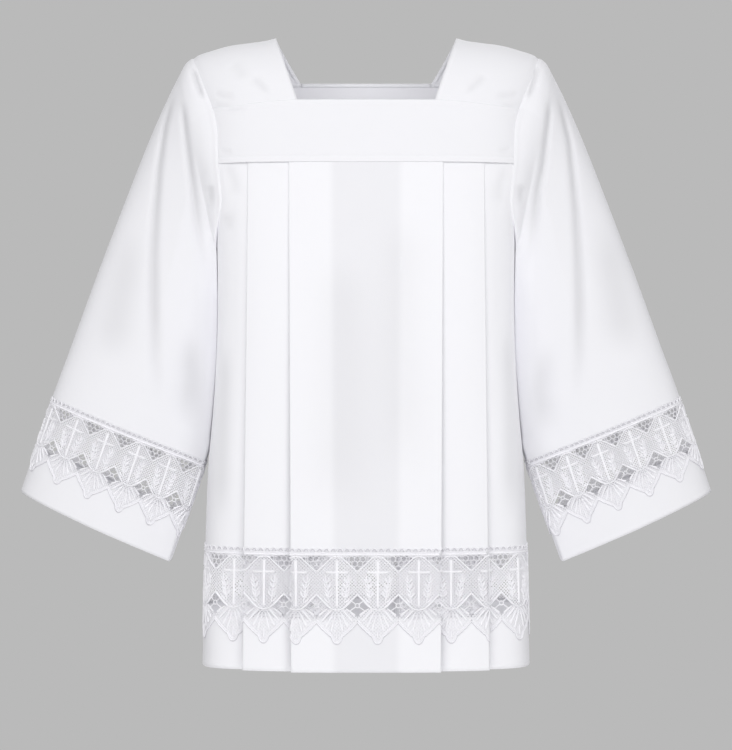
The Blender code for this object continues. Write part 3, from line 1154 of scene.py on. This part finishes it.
def stitchLines():
    # each line as points with the way out of the cloth at each
    lines, wall, count = [], garment["clothWall"] / 2, stitching["bandPoints"]
    for side, sign in (("front", -1), ("back", 1)):
        lowest = neckZ(side) - garment["bandHeight"]
        hem, neck = [], []
        for n in range(-count // 2, count // 2 + 1):
            share = stitching["bandReach"] * math.sin(math.pi * n / count)
            for line, z, dent in (
                (hem, lowest + yoke["hemLine"], yoke["dent"]),
                (neck, bandZ(share, side) - yoke["neckLine"], yoke["neckDent"]),
            ):
                x = edgeX(z) * share
                spot = Vector((x, torsoY(x, z, side, garment["lap"] - dent + wall), z))
                line.append((spot, Vector((stitching["tilt"] * x / edgeX(z), sign, 0))))
        lines += [hem, neck]
    for sign in (1, -1):
        turns = steps(stitching["strapEnd"], 1, stitching["strapPoints"])
        edge = [strapPoint(stitching["strapShare"], turn, "front") for turn in turns]
        turns = steps(1, stitching["strapEnd"], stitching["strapPoints"])
        edge += [strapPoint(stitching["strapShare"], turn, "back") for turn in turns][1:]
        inner = Vector((0.15, 0, -0.12))
        edge = [(spot + (spot - inner).normalized() * wall, spot - inner) for spot in edge]
        lines.append([(handed(spot, sign), handed(way, sign)) for spot, way in edge])
    return lines


def layStitches():
    spots, links, ways = [], [], []
    for line in stitchLines():
        links += [(len(spots) + n, len(spots) + n + 1) for n in range(len(line) - 1)]
        spots += [spot for spot, _ in line]
        ways += [way.normalized() for _, way in line]
    mesh = bpy.data.meshes.new("stitchLines")
    mesh.from_pydata(spots, links, [])
    facing = mesh.attributes.new("facing", "FLOAT_VECTOR", "POINT")
    facing.data.foreach_set("vector", [number for way in ways for number in way])
    stitches = grow("stitches", mesh, stitchGraph(), {
        "Spacing": stitching["spacing"],
        "Length": stitching["length"],
        "Width": stitching["width"],
        "Height": stitching["height"],
        "Material": thread,
    })
    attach(stitches, "root")
    print("stitches", len(stitches.data.polygons), "faces")


layStitches()

lace = {
    "repeats": 40,  # round the hem
    "phase": 0.0162,  # the first medallion's middle, from the middle of the front
    "cuffRepeats": 12,
    "cuffPhase": 0.58,  # in repeats, from the sleeve's outer edge
    "lift": 0.0007,  # from the middle of the cloth behind to the threads' underside
    # the rest is at the hem's size, heights being above the lowest tip
    # away from the medallion's middle, height
    "topArch": [
        (0.0000, 0.1192),
        (0.0045, 0.1188),
        (0.0078, 0.1172),
        (0.0122, 0.1130),
        (0.0198, 0.1060),
        (0.0262, 0.1003),
        (0.0282, 0.0992),
    ],
    "footArch": [
        (0.0000, 0.0459),
        (0.0045, 0.0466),
        (0.0090, 0.0485),
        (0.0137, 0.0520),
        (0.0187, 0.0572),
        (0.0233, 0.0624),
        (0.0282, 0.0670),
    ],
    "edge": [
        (0.0000, 0.0000),
        (0.0020, 0.0003),
        (0.0036, 0.0013),
        (0.0054, 0.0036),
        (0.0068, 0.0068),
        (0.0078, 0.0098),
        (0.0110, 0.0120),
        (0.0160, 0.0166),
        (0.0228, 0.0230),
        (0.0262, 0.0272),
        (0.0282, 0.0286),
    ],
    "edgeWaves": 0.0009,
    "lobeHalf": 0.0078,  # where the lobe ends and the waves start
    "waveLength": 0.0051,
    "waveFade": 0.009,
    "border": (0.1216, 0.1252),
    "picotTop": 0.1308,
    "picots": 6,
    "netThreads": 12,  # across a medallion
    # low, high and tone of the two nets, the tone including painted shade
    "medallionNet": (0.0450, 0.1200, 0.97),
    "fanNet": (0.0, 0.0480, 0.84),
    "netPiece": 0.008,  # longest straight piece of a net's thread
    "fanClear": 0.001,  # from the edge to the fan's net
    "combCell": 0.0076,
    "combMiddle": 0.1160,
    # the honeycomb's threads are painted greyer, as shade
    "combToneAndShade": 0.6,
    # how finely threads are cut off at a border
    "netGrain": 0.0006,
    "combGrain": 0.0004,
    # widths and heights of the threads
    "netThread": (0.00125, 0.00040),
    "fanThread": (0.00140, 0.00040),
    "shadow": (0.0011, 0.0004),
    "combThread": (0.0014, 0.0008),
    "cord": (0.0020, 0.0014),
    "edgeCord": (0.0013, 0.0014),
    "upright": (0.0042, 0.0014),
    "crossbar": (0.0030, 0.0013),
    # satin bars of the fan: start, end, and width at both ends
    "fan": [
        ((0.0125, 0.0480), (0.0252, 0.0388), (0.0020, 0.0030)),
        ((0.0078, 0.0460), (0.0208, 0.0308), (0.0020, 0.0036)),
        ((0.0042, 0.0440), (0.0152, 0.0226), (0.0019, 0.0038)),
        ((0.0015, 0.0415), (0.0082, 0.0172), (0.0017, 0.0035)),
    ],
    "fanTongue": ((0.0, 0.0195), (0.0, 0.0072), (0.0015, 0.0030)),
    "fanHeight": 0.0014,
}
lace["pitch"] = (hemWidths["front"] + hemWidths["back"]) / lace["repeats"]
# heights that strokes start from, so that those that cross never share a plane
laid = {"leaning": 0.00004, "edge": 0.0001, "border": 0.0002, "satin": 0.0003, "arch": 0.0004}


class Strokes:
    # threads and satin bars laid flat, each a closed body with a domed top and a tone from grey to white,
    # where grey is painted shade
    sections = {
        "thread": [(-0.5, 0), (0, 1), (0.5, 0)],
        "cord": [(-0.5, 0), (-0.33, 0.75), (0, 1), (0.33, 0.75), (0.5, 0)],
        "tape": [(-0.5, 0), (-0.44, 1), (0.44, 1), (0.5, 0)],
    }

    def __init__(self):
        self.spots, self.faces, self.tonesAndShades = [], [], []

    def add(self, path, size, kind="cord", base=0.0, widths=None, tone=1.0):
        section = self.sections[kind]
        count, first = len(section), len(self.spots)
        ways = [np.subtract(b, a) for a, b in zip(path, path[1:])]
        ways = [way / np.linalg.norm(way) for way in ways]
        for n, (x, y) in enumerate(path):
            way = ways[max(n - 1, 0)] + ways[min(n, len(ways) - 1)]
            way = way / np.linalg.norm(way)
            wide = size[0] * (widths[n] if widths else 1)
            for aside, up in section:
                self.spots.append((x - way[1] * aside * wide, y + way[0] * aside * wide, base + up * size[1]))
                self.tonesAndShades.append(tone)
            if n:
                here, before = first + n * count, first + (n - 1) * count
                for k in range(count):
                    after = (k + 1) % count
                    self.faces.append((before + k, before + after, here + after, here + k))
        last = first + (len(path) - 1) * count
        self.faces.append(tuple(range(first, first + count)))
        self.faces.append(tuple(range(last + count - 1, last - 1, -1)))

    def mesh(self, name):
        made = bpy.data.meshes.new(name)
        made.from_pydata(self.spots, [], self.faces)
        made.attributes.new("tone", "FLOAT", "POINT").data.foreach_set("value", self.tonesAndShades)
        work = bmesh.new()
        work.from_mesh(made)
        bmesh.ops.recalc_face_normals(work, faces=work.faces)
        work.to_mesh(made)
        work.free()
        return made


def awayFrom(x):
    # how far x lies from the nearest medallion's middle
    pitch = lace["pitch"]
    return abs((x + pitch / 2) % pitch - pitch / 2)


def topArch(x):
    return readRows(lace["topArch"], awayFrom(x), 1)


def footArch(x):
    return readRows(lace["footArch"], awayFrom(x), 1)


def edgeY(x):
    # the lowest edge: a slope of small waves, ending in a round lobe
    away = awayFrom(x)
    waves = -0.5
    if away > lace["lobeHalf"]:
        waves += abs(math.sin(math.pi * (away - lace["lobeHalf"]) / lace["waveLength"]))
    return readRows(lace["edge"], away, 1) - lace["edgeWaves"] * waves * smooth(away / lace["waveFade"])


def diamondFoot(x):
    # the line of the outermost bars, which bounds the diamond below
    (startX, startY), (endX, endY), _ = lace["fan"][0]
    return mix(startY, endY, (awayFrom(x) - startX) / (endX - startX))


def inMedallion(x, y):
    return footArch(x) < y < topArch(x)


def inTriangle(x, y):
    return topArch(x) < y < lace["border"][0]


def inDiamond(x, y):
    return diamondFoot(x) < y < footArch(x)


def inFan(x, y):
    outermost = lace["fan"][0][0][0]
    roof = min(footArch(x), diamondFoot(x)) if awayFrom(x) > outermost else footArch(x)
    return edgeY(x) + lace["fanClear"] < y < roof


def keptRuns(a, b, inside, grain):
    # the stretches of the line from a to b that lie inside
    count = max(int(math.dist(a, b) / grain), 2)
    run = []
    for n in range(count + 1):
        spot = (mix(a[0], b[0], n / count), mix(a[1], b[1], n / count))
        if inside(*spot):
            run.append(spot)
        if run and (not inside(*spot) or n == count):
            if len(run) > 2:
                yield run[0], run[-1]
            run = []


def layNet(strokes, inside, net, size):
    # slanting threads both ways
    low, high, tone = net
    half, tall = lace["pitch"] / 2, high - low
    cell = lace["pitch"] / lace["netThreads"]
    reach = int((half + tall) / cell) + 1

    def kept(x, y):
        return -half <= x <= half and inside(x, y)

    for n in range(-reach, reach + 1):
        for lean in (1, -1):
            ends = ((n * cell, low), (n * cell + lean * tall, high))
            for start, end in keptRuns(*ends, kept, lace["netGrain"]):
                pieces = max(round(math.dist(start, end) / lace["netPiece"]), 1)
                path = [tuple(mix(p, q, k / pieces) for p, q in zip(start, end)) for k in range(pieces + 1)]
                strokes.add(path, size, "thread", laid["leaning"] if lean > 0 else 0.0, None, tone)


def layComb(strokes, inside):
    # a honeycomb, centred where two medallions meet
    cell = lace["combCell"]
    seen, rise = set(), cell * 0.866
    centre = lace["pitch"] / 2
    for row in range(-6, 7):
        for column in range(-5, 6):
            x = centre + (column + (row % 2) / 2) * cell
            y = lace["combMiddle"] + row * rise
            for turn in range(6):
                angles = [math.pi / 6 + (turn + k) * math.pi / 3 for k in (0, 1)]
                ends = [(x + cell * 0.577 * math.cos(at), y + cell * 0.577 * math.sin(at)) for at in angles]
                middle = tuple(round((p + q) * 2000) for p, q in zip(*ends))
                if middle in seen:
                    continue
                seen.add(middle)
                for start, end in keptRuns(*ends, inside, lace["combGrain"]):
                    strokes.add([start, end], lace["combThread"], "cord", 0.0, None, lace["combToneAndShade"])


spider = {"centreY": 0.0520, "radius": 0.0030, "legs": ((1, 0.80), (-1, 0.80), (1, -0.72), (-1, -0.72))}


def laySpider(strokes):
    # a small ring held by four legs, in the diamond where two medallions meet
    centreX, centreY, radius = lace["pitch"] / 2, spider["centreY"], spider["radius"]

    def spot(wayX, wayY, reach):
        return (centreX + wayX * reach, centreY + wayY * reach)

    turns = steps(0, 2 * math.pi, 10)
    strokes.add([spot(math.cos(turn), math.sin(turn), radius) for turn in turns], lace["combThread"])
    for legX, legY in spider["legs"]:
        length = math.hypot(legX, legY)
        way, reach = (legX / length, legY / length), radius
        while inDiamond(*spot(*way, reach)):
            reach += 0.0003
        strokes.add([spot(*way, radius), spot(*way, reach)], lace["combThread"])


def curve(shape, count):
    half = lace["pitch"] / 2
    return [(x, shape(x)) for x in steps(-half, half, count)]


cross = {
    "upright": (0.0515, 0.1138),
    "uprightWidths": [0.95, 0.9, 0.9, 0.92, 0.95, 1, 1, 1.05, 1.2],
    "armsY": 0.0977,
    "armHalf": 0.0148,
    "armWidths": [1.15, 1, 0.95, 1, 0.95, 1, 1.15],
}


def layCross(strokes):
    upright = [(0, y) for y in steps(*cross["upright"], 8)]
    strokes.add(upright, lace["upright"], "cord", laid["satin"], cross["uprightWidths"])
    arms = [(x, cross["armsY"]) for x in steps(-cross["armHalf"], cross["armHalf"], 6)]
    strokes.add(arms, lace["crossbar"], "cord", laid["satin"], cross["armWidths"])


# an ear of wheat: its stem, and the shapes set on it, each as steps away from it and up
ear = {
    "stemX": 0.0105,
    "stemLean": 0.0045,
    "stemCurve": 1.5,
    "stemHeights": (0.0555, 0.0850),
    "stem": (0.0018, 0.0011),
    "grains": 4,
    "firstGrain": 0.28,  # up the stem
    "grainStep": 0.22,
    "grain": ((0.0006, 0.0), (0.0034, 0.0026), (0.0048, 0.0066)),
    "tip": ((0.0, 0.0), (0.0007, 0.0040), (0.0010, 0.0078)),
    "grainThread": (0.0031, 0.0013),
    "leafAt": 0.02,
    "leaf": ((0.0, 0.0), (0.0044, 0.0018), (0.0076, 0.0070)),
    "leafThread": (0.0027, 0.0011),
}


def layEar(strokes, sign):
    def stem(t):
        away = ear["stemX"] + ear["stemLean"] * t ** ear["stemCurve"]
        return (sign * away, mix(*ear["stemHeights"], t))

    def lay(shape, at, side, size, base, widths):
        x, y = stem(at)
        strokes.add([(x + side * dx, y + dy) for dx, dy in shape], size, "cord", base, widths)

    strokes.add([stem(t) for t in steps(0, 1, 6)], ear["stem"], "cord", laid["border"])
    for n in range(ear["grains"]):
        for side in (1, -1):
            at = ear["firstGrain"] + ear["grainStep"] * n
            lay(ear["grain"], at, side, ear["grainThread"], laid["satin"], [0.5, 1.0, 0.4])
    lay(ear["tip"], 1.0, sign, ear["grainThread"], laid["satin"], [0.6, 1.0, 0.35])
    lay(ear["leaf"], ear["leafAt"], sign, ear["leafThread"], laid["border"], [0.5, 1.0, 0.3])


def layBar(strokes, start, end, widths):
    thinning = ((0, 0.7), (0.3, 1), (0.6, 1), (0.88, 1), (1, 0.55))
    path = [tuple(mix(p, q, t) for p, q in zip(start, end)) for t, _ in thinning]
    shares = [mix(*widths, t) * thin for t, thin in thinning]
    strokes.add(path, (1.0, lace["fanHeight"]), "cord", laid["satin"], shares)


def layFan(strokes):
    for start, end, widths in lace["fan"]:
        for sign in (1, -1):
            layBar(strokes, (start[0] * sign, start[1]), (end[0] * sign, end[1]), widths)
    layBar(strokes, *lace["fanTongue"])


edging = {
    "lobe": (0.0, 0.0015, 0.003, 0.0045, 0.006, 0.0072),  # points along it, from its middle
    "slopeFrom": 0.0085,
    "slopeSteps": 17,
    # distance in from the edge, size, section, tone; the tape's grey tone is painted shade, and the last line
    # is a dark thread painted as the shadow round the edge
    "lines": (
        (0.0, lace["edgeCord"], "cord", 1.0),
        (0.0014, (0.0036, 0.0003), "tape", 0.7),
        (0.0026, (0.0012, 0.0009), "cord", 0.95),
        (-0.0011, lace["shadow"], "cord", 0.0),
    ),
    "rise": 1.25,
    # how a line inside the lobe is narrower, and how far out that reaches
    "narrowing": 55,
    "narrowTo": 0.012,
}


def layEdge(strokes):
    half = lace["pitch"] / 2
    aways = [*edging["lobe"], *steps(edging["slopeFrom"], half, edging["slopeSteps"])]
    xs = sorted({sign * away for away in aways for sign in (1, -1)})
    for inset, size, kind, tone in edging["lines"]:
        path = []
        for x in xs:
            narrow = inset * edging["narrowing"] * (1 - smooth(abs(x) / edging["narrowTo"]))
            path.append((x * (1 - narrow), edgeY(x) + inset * edging["rise"]))
        strokes.add(path, size, kind, laid["edge"], None, tone)


def layBorder(strokes):
    half = lace["pitch"] / 2
    low, high = lace["border"]
    for y, size in ((low, lace["cord"]), (high, lace["edgeCord"])):
        strokes.add([(x, y) for x in steps(-half, half, 8)], size, "cord", laid["border"])
    middle = (low + high) / 2
    # a greyer tape between the cords, painted shade
    strokes.add([(x, middle) for x in steps(-half, half, 8)], (high - low, 0.0004), "tape", 0.0, None, 0.7)
    wide = lace["pitch"] / lace["picots"]
    for n in range(lace["picots"]):
        centre = -half + wide * (n + 0.5)
        # each loop has a dark thread inside it, painted as its shade
        for reach, size, tone in ((1.0, (0.0013, 0.0011), 1.0), (0.72, (0.0015, 0.0004), 0.0)):
            tall = (lace["picotTop"] - high) * reach - (1 - reach) * 0.001
            turns = steps(math.pi * (1 - reach) / 2, math.pi * (1 + reach) / 2, 7)
            arc = [(centre - 0.45 * wide * reach * math.cos(t), high + tall * math.sin(t)) for t in turns]
            strokes.add(arc, size, "cord", laid["edge"], None, tone)


def laceMotif():
    strokes = Strokes()
    layNet(strokes, inMedallion, lace["medallionNet"], lace["netThread"])
    layNet(strokes, inFan, lace["fanNet"], lace["fanThread"])
    layComb(strokes, inTriangle)
    laySpider(strokes)
    for arch in (topArch, footArch):
        strokes.add(curve(arch, 22), lace["cord"], "cord", laid["arch"])
    layCross(strokes)
    layEar(strokes, 1)
    layEar(strokes, -1)
    layFan(strokes)
    layEdge(strokes)
    layBorder(strokes)
    return strokes.mesh("laceMotif")


def laceGraph():
    # lays copies of the motif side by side, then onto a surface by its flat map
    graph = GeometryGraph("laceOnCloth", (
        ("Surface", "NodeSocketObject"),
        ("Copies", "NodeSocketInt"),
        ("Pitch", "NodeSocketFloat"),
        ("Start", "NodeSocketFloat"),
        ("Lift", "NodeSocketFloat"),
        ("Material", "NodeSocketMaterial"),
    ))
    step = graph.node("ShaderNodeCombineXYZ", None, {"X": graph.given("Pitch")}).value()
    start = graph.node("ShaderNodeCombineXYZ", None, {"X": graph.given("Start")}).value()
    places = graph.node("GeometryNodeMeshLine", None, {
        "Count": graph.given("Copies"), "Start Location": start, "Offset": step,
    }).value()
    copies = graph.node("GeometryNodeInstanceOnPoints", None, {
        "Points": places, "Instance": graph.given("Geometry"),
    }).value()
    flatLace = graph.node("GeometryNodeRealizeInstances", None, {"Geometry": copies}).value()
    spot = graph.node("GeometryNodeInputPosition").value()
    apart = graph.node("ShaderNodeSeparateXYZ", None, {0: spot})
    x, y, relief = (apart.value(axis) for axis in "XYZ")
    onFlat = graph.node("ShaderNodeCombineXYZ", None, {"X": x, "Y": y}).value()
    length = graph.given("Pitch") * (graph.given("Copies") + 1.0)
    fromStart = (x - graph.given("Start") + graph.given("Pitch") * 0.6) / length
    bakeSpot = graph.node("ShaderNodeCombineXYZ", None, {"X": fromStart, "Y": y / length}).value()
    mapped = flatLace
    for name, where in (("cloth", onFlat), ("OFBake", bakeSpot)):
        mapped = graph.node(
            "GeometryNodeStoreNamedAttribute",
            {"data_type": "FLOAT2", "domain": "CORNER"},
            {"Geometry": mapped, "Name": name, "Value": where},
        ).value()
    surface = graph.node("GeometryNodeObjectInfo", None, {
        "Object": graph.given("Surface"),
    }).value("Geometry")
    flatMap = graph.vector("cloth")

    def onSurface(what):
        return graph.node("GeometryNodeSampleUVSurface", {"data_type": "FLOAT_VECTOR"}, {
            "Mesh": surface, "Value": what, "UV Map": flatMap, "Sample UV": onFlat,
        }).value("Value")

    way = onSurface(graph.node("GeometryNodeInputNormal").value())
    raised = graph.node("ShaderNodeVectorMath", {"operation": "SCALE"}, {
        0: way, "Scale": relief + graph.given("Lift"),
    }).value()
    placed = graph.node("ShaderNodeVectorMath", {"operation": "ADD"}, {
        0: onSurface(spot), 1: raised,
    }).value()
    graph.end(graph.node("GeometryNodeSetPosition", None, {"Geometry": mapped, "Position": placed}).value())
    return graph


def hemSurface():
    # the cloth all round above the hem, with one repeat more at both ends
    lowest, highest = garment["hemZ"] + bodyPieces["laceTip"], garment["hemZ"] + bodyPieces["laceTop"]
    heights = steps(lowest - 0.004, highest + 0.003, 22)
    span = lace["pitch"] * 1.5
    across = None
    rows, flats = [], []
    for z in heights:
        front = [(x, y) for x, y, _ in pleatedRow(z, "front")]
        back = [(x, y) for x, y, _ in reversed(pleatedRow(z, "back"))]
        ring = front + back[1:]
        if across is None:
            level = garment["hemZ"] + bodyPieces["bandTop"]
            measured = [(x, y) for x, y, _ in pleatedRow(level, "front")]
            measured += [(x, y) for x, y, _ in reversed(pleatedRow(level, "back"))][1:]
            along = rowLengths(measured)
            across = [u - along[-1] / 4 for u in along]
            total = along[-1]
        before = [n for n, u in enumerate(across[:-1]) if u > across[0] + total - span]
        after = [n for n, u in enumerate(across) if 0 < u - across[0] < span]
        order = [(n, -total) for n in before] + [(n, 0) for n in range(len(across))]
        order += [(n, total) for n in after]
        rows.append([(*ring[n], z) for n, _ in order])
        height = z - garment["hemZ"] - bodyPieces["laceTip"]
        flats.append([(across[n] + shift, height) for n, shift in order])
    return clothMesh("hemSurface", rows, flats)


def cuffSurface(sign):
    tail = len(sleeves["sections"]) - 1
    stations = steps(tail + sleeves["laceTop"] - 0.02, tail + sleeves["laceTip"] + 0.02, 20)
    rings, _ = sleeveRings(stations, sign)
    heights = rowLengths([ring[sleeves["around"] // 4] for ring in rings])
    tall = lace["picotTop"]
    scale = tall / (heights[-2] - heights[1])
    rows, flats = [], []
    count = sleeves["around"]
    margin = count // 8
    order = range(-margin, count + margin + 1)
    for ring, height in zip(rings, heights):
        rows.append([ring[n % count] for n in order])
        # seen from outside, the pattern runs the same way on both sleeves
        flats.append([(-sign * n / count * lace["cuffRepeats"] * lace["pitch"],
                       tall - (height - heights[1]) * scale) for n in order])
    return clothMesh("cuffSurface", rows, flats), tall / scale


def outwardNormals(mesh, centreX):
    # a long thin strip of cloth, turned to face out of the garment
    middle = mesh.polygons[len(mesh.polygons) // 2]
    way = Vector((middle.center.x - centreX, middle.center.y, 0))
    if middle.normal.dot(way) < 0:
        mesh.flip_normals()


def layLace():
    motif, graph = laceMotif(), laceGraph()
    print("lace motif", sum(len(face.vertices) - 2 for face in motif.polygons), "triangles")
    pitch, half = lace["pitch"], lace["repeats"] // 2
    hem = addObject("hemSurface", hemSurface(), thread)
    outwardNormals(hem.data, 0.0)
    cuffs = {}
    for hand, sign in (("left", 1), ("right", -1)):
        mesh, cuffTall = cuffSurface(sign)
        cuffs[hand] = addObject("cuffSurface" + hand.title(), mesh, thread)
        outwardNormals(cuffs[hand].data, sign * 0.365)
    first = lace["phase"] - half // 2 * pitch
    cuffStart = lace["cuffPhase"] * pitch
    around = lace["cuffRepeats"]
    hemFlat = (half * pitch, lace["picotTop"])
    cuffFlat = (cuffRound, cuffTall)
    jobs = [
        # name, node, surface, copies, start, flat size, what it is sewn on
        ("laceHemFront", "hem_lace_front", hem, half, first, hemFlat, "panelFront"),
        ("laceHemBack", "hem_lace_back", hem, half, first + half * pitch, hemFlat, "panelBack"),
    ]
    for hand, start in (("left", cuffStart - around * pitch), ("right", cuffStart)):
        title = hand.title()
        names = ("laceCuff" + title, "cuff_lace_" + hand)
        jobs.append((*names, cuffs[hand], around, start, cuffFlat, "sleeve" + title))
    for name, node, surface, copies, start, flat, rests in jobs:
        piece = grow(name, motif.copy(), graph, {
            "Surface": surface, "Copies": copies, "Pitch": pitch, "Start": start,
            "Lift": lace["lift"], "Material": thread,
        })
        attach(piece, "root")
        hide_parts(node)
        print(name, len(piece.data.polygons), "faces")
    for surface in (hem, *cuffs.values()):
        bpy.data.objects.remove(surface)


layLace()
print("lace laid")

studio = {
    "distance": 2.8,
    "eyeZ": -0.475,
    "viewHeight": 1.0875,  # metres from the view's top to its foot, at the middle of the garment
    "backdrop": 0.491,
    "floorZ": -1.42,
    "floorRadius": 1.5,
    "floorFade": 0.6,  # the share of the radius over which it fades out
    "floorColour": (0.55, 0.55, 0.55, 1),
    "floorRings": 12,
    "floorSpokes": 64,
}

lights = {
    # place, aim, size, power
    "front": ((0, -3.6, 0.0), (0, 0, -0.42), 2.6, 33),
    "key": ((-1.8, -2.8, 0.5), (0, 0, -0.42), 1.4, 26),
    "fill": ((1.9, -2.7, 0.3), (0, 0, -0.45), 1.5, 24),
    "inside": ((0, -0.03, -0.30), (0, 0.1, -0.05), 0.12, 0.10),
    "top": ((0, 0.2, 2.2), (0, 0, -0.3), 1.4, 8),
    "low": ((0, 0.0, -1.36), (0, 0, -0.42), 0.7, 2.5),
    "back": ((0.6, 3.2, 0.6), (0, 0, -0.42), 2.4, 40),
}


def addCamera():
    camera = bpy.data.cameras.new("camera")
    camera.lens = 36 * studio["distance"] / studio["viewHeight"]
    camera.clip_end = 50
    view = bpy.data.objects.new("camera", camera)
    view.location = (0, -studio["distance"], studio["eyeZ"])
    view.rotation_euler = (math.pi / 2, 0, 0)
    bpy.context.scene.collection.objects.link(view)
    bpy.context.scene.camera = view


def addLight(name, place, aim, size, power):
    lamp = bpy.data.lights.new(name, "AREA")
    lamp.shape = "SQUARE"
    lamp.size = size
    lamp.energy = power
    light = bpy.data.objects.new(name, lamp)
    light.location = place
    light.visible_camera = False
    light.rotation_euler = (Vector(aim) - Vector(place)).to_track_quat("-Z", "Y").to_euler()
    bpy.context.scene.collection.objects.link(light)


def addWorld():
    world = bpy.data.worlds.new("studio")
    world.use_nodes = True
    graph = Graph(world.node_tree)
    grey = (studio["backdrop"],) * 3 + (1,)
    shade = graph.node("ShaderNodeBackground", None, {"Color": grey, "Strength": 1.0})
    graph.node("ShaderNodeOutputWorld", None, {"Surface": shade.value()})
    bpy.context.scene.world = world


def addFloor():
    # a pale disc, fading out at its rim
    rings, spokes, rows = studio["floorRings"], studio["floorSpokes"], []
    turns = [2 * math.pi * n / spokes for n in range(spokes)]
    for r in range(rings + 1):
        radius = studio["floorRadius"] * (0.02 + 0.98 * r / rings)
        rows.append([(radius * math.cos(t), radius * math.sin(t), studio["floorZ"]) for t in turns])
    flats = [[(0.0, 0.0)] * (spokes + 1) for _ in rows]
    mesh = clothMesh("floor", rows, flats, closed=True)
    work = bmesh.new()
    work.from_mesh(mesh)
    work.verts.ensure_lookup_table()
    work.faces.new([work.verts[n] for n in range(spokes)])
    bmesh.ops.recalc_face_normals(work, faces=work.faces)
    work.to_mesh(mesh)
    work.free()
    if mesh.polygons[0].normal.z < 0:
        mesh.flip_normals()
    material, graph = surfaceTree("paleFloor")
    place = graph.node("ShaderNodeTexCoord").value("Object")
    away = graph.node("ShaderNodeVectorMath", {"operation": "LENGTH"}, {
        0: graph.node("ShaderNodeVectorMath", {"operation": "MULTIPLY"}, {0: place, 1: (1, 1, 0)}).value()
    }).value("Value")
    clear = ((studio["floorRadius"] - away) / (studio["floorRadius"] * studio["floorFade"])).clipped()
    finishSurface(graph, {"Base Color": studio["floorColour"], "Roughness": 0.9, "Alpha": clear})
    addObject("floor", mesh, material)


addCamera()
addWorld()
for name, values in lights.items():
    addLight(name, *values)
addFloor()
bpy.context.scene.view_settings.view_transform = "Standard"
print("studio made")
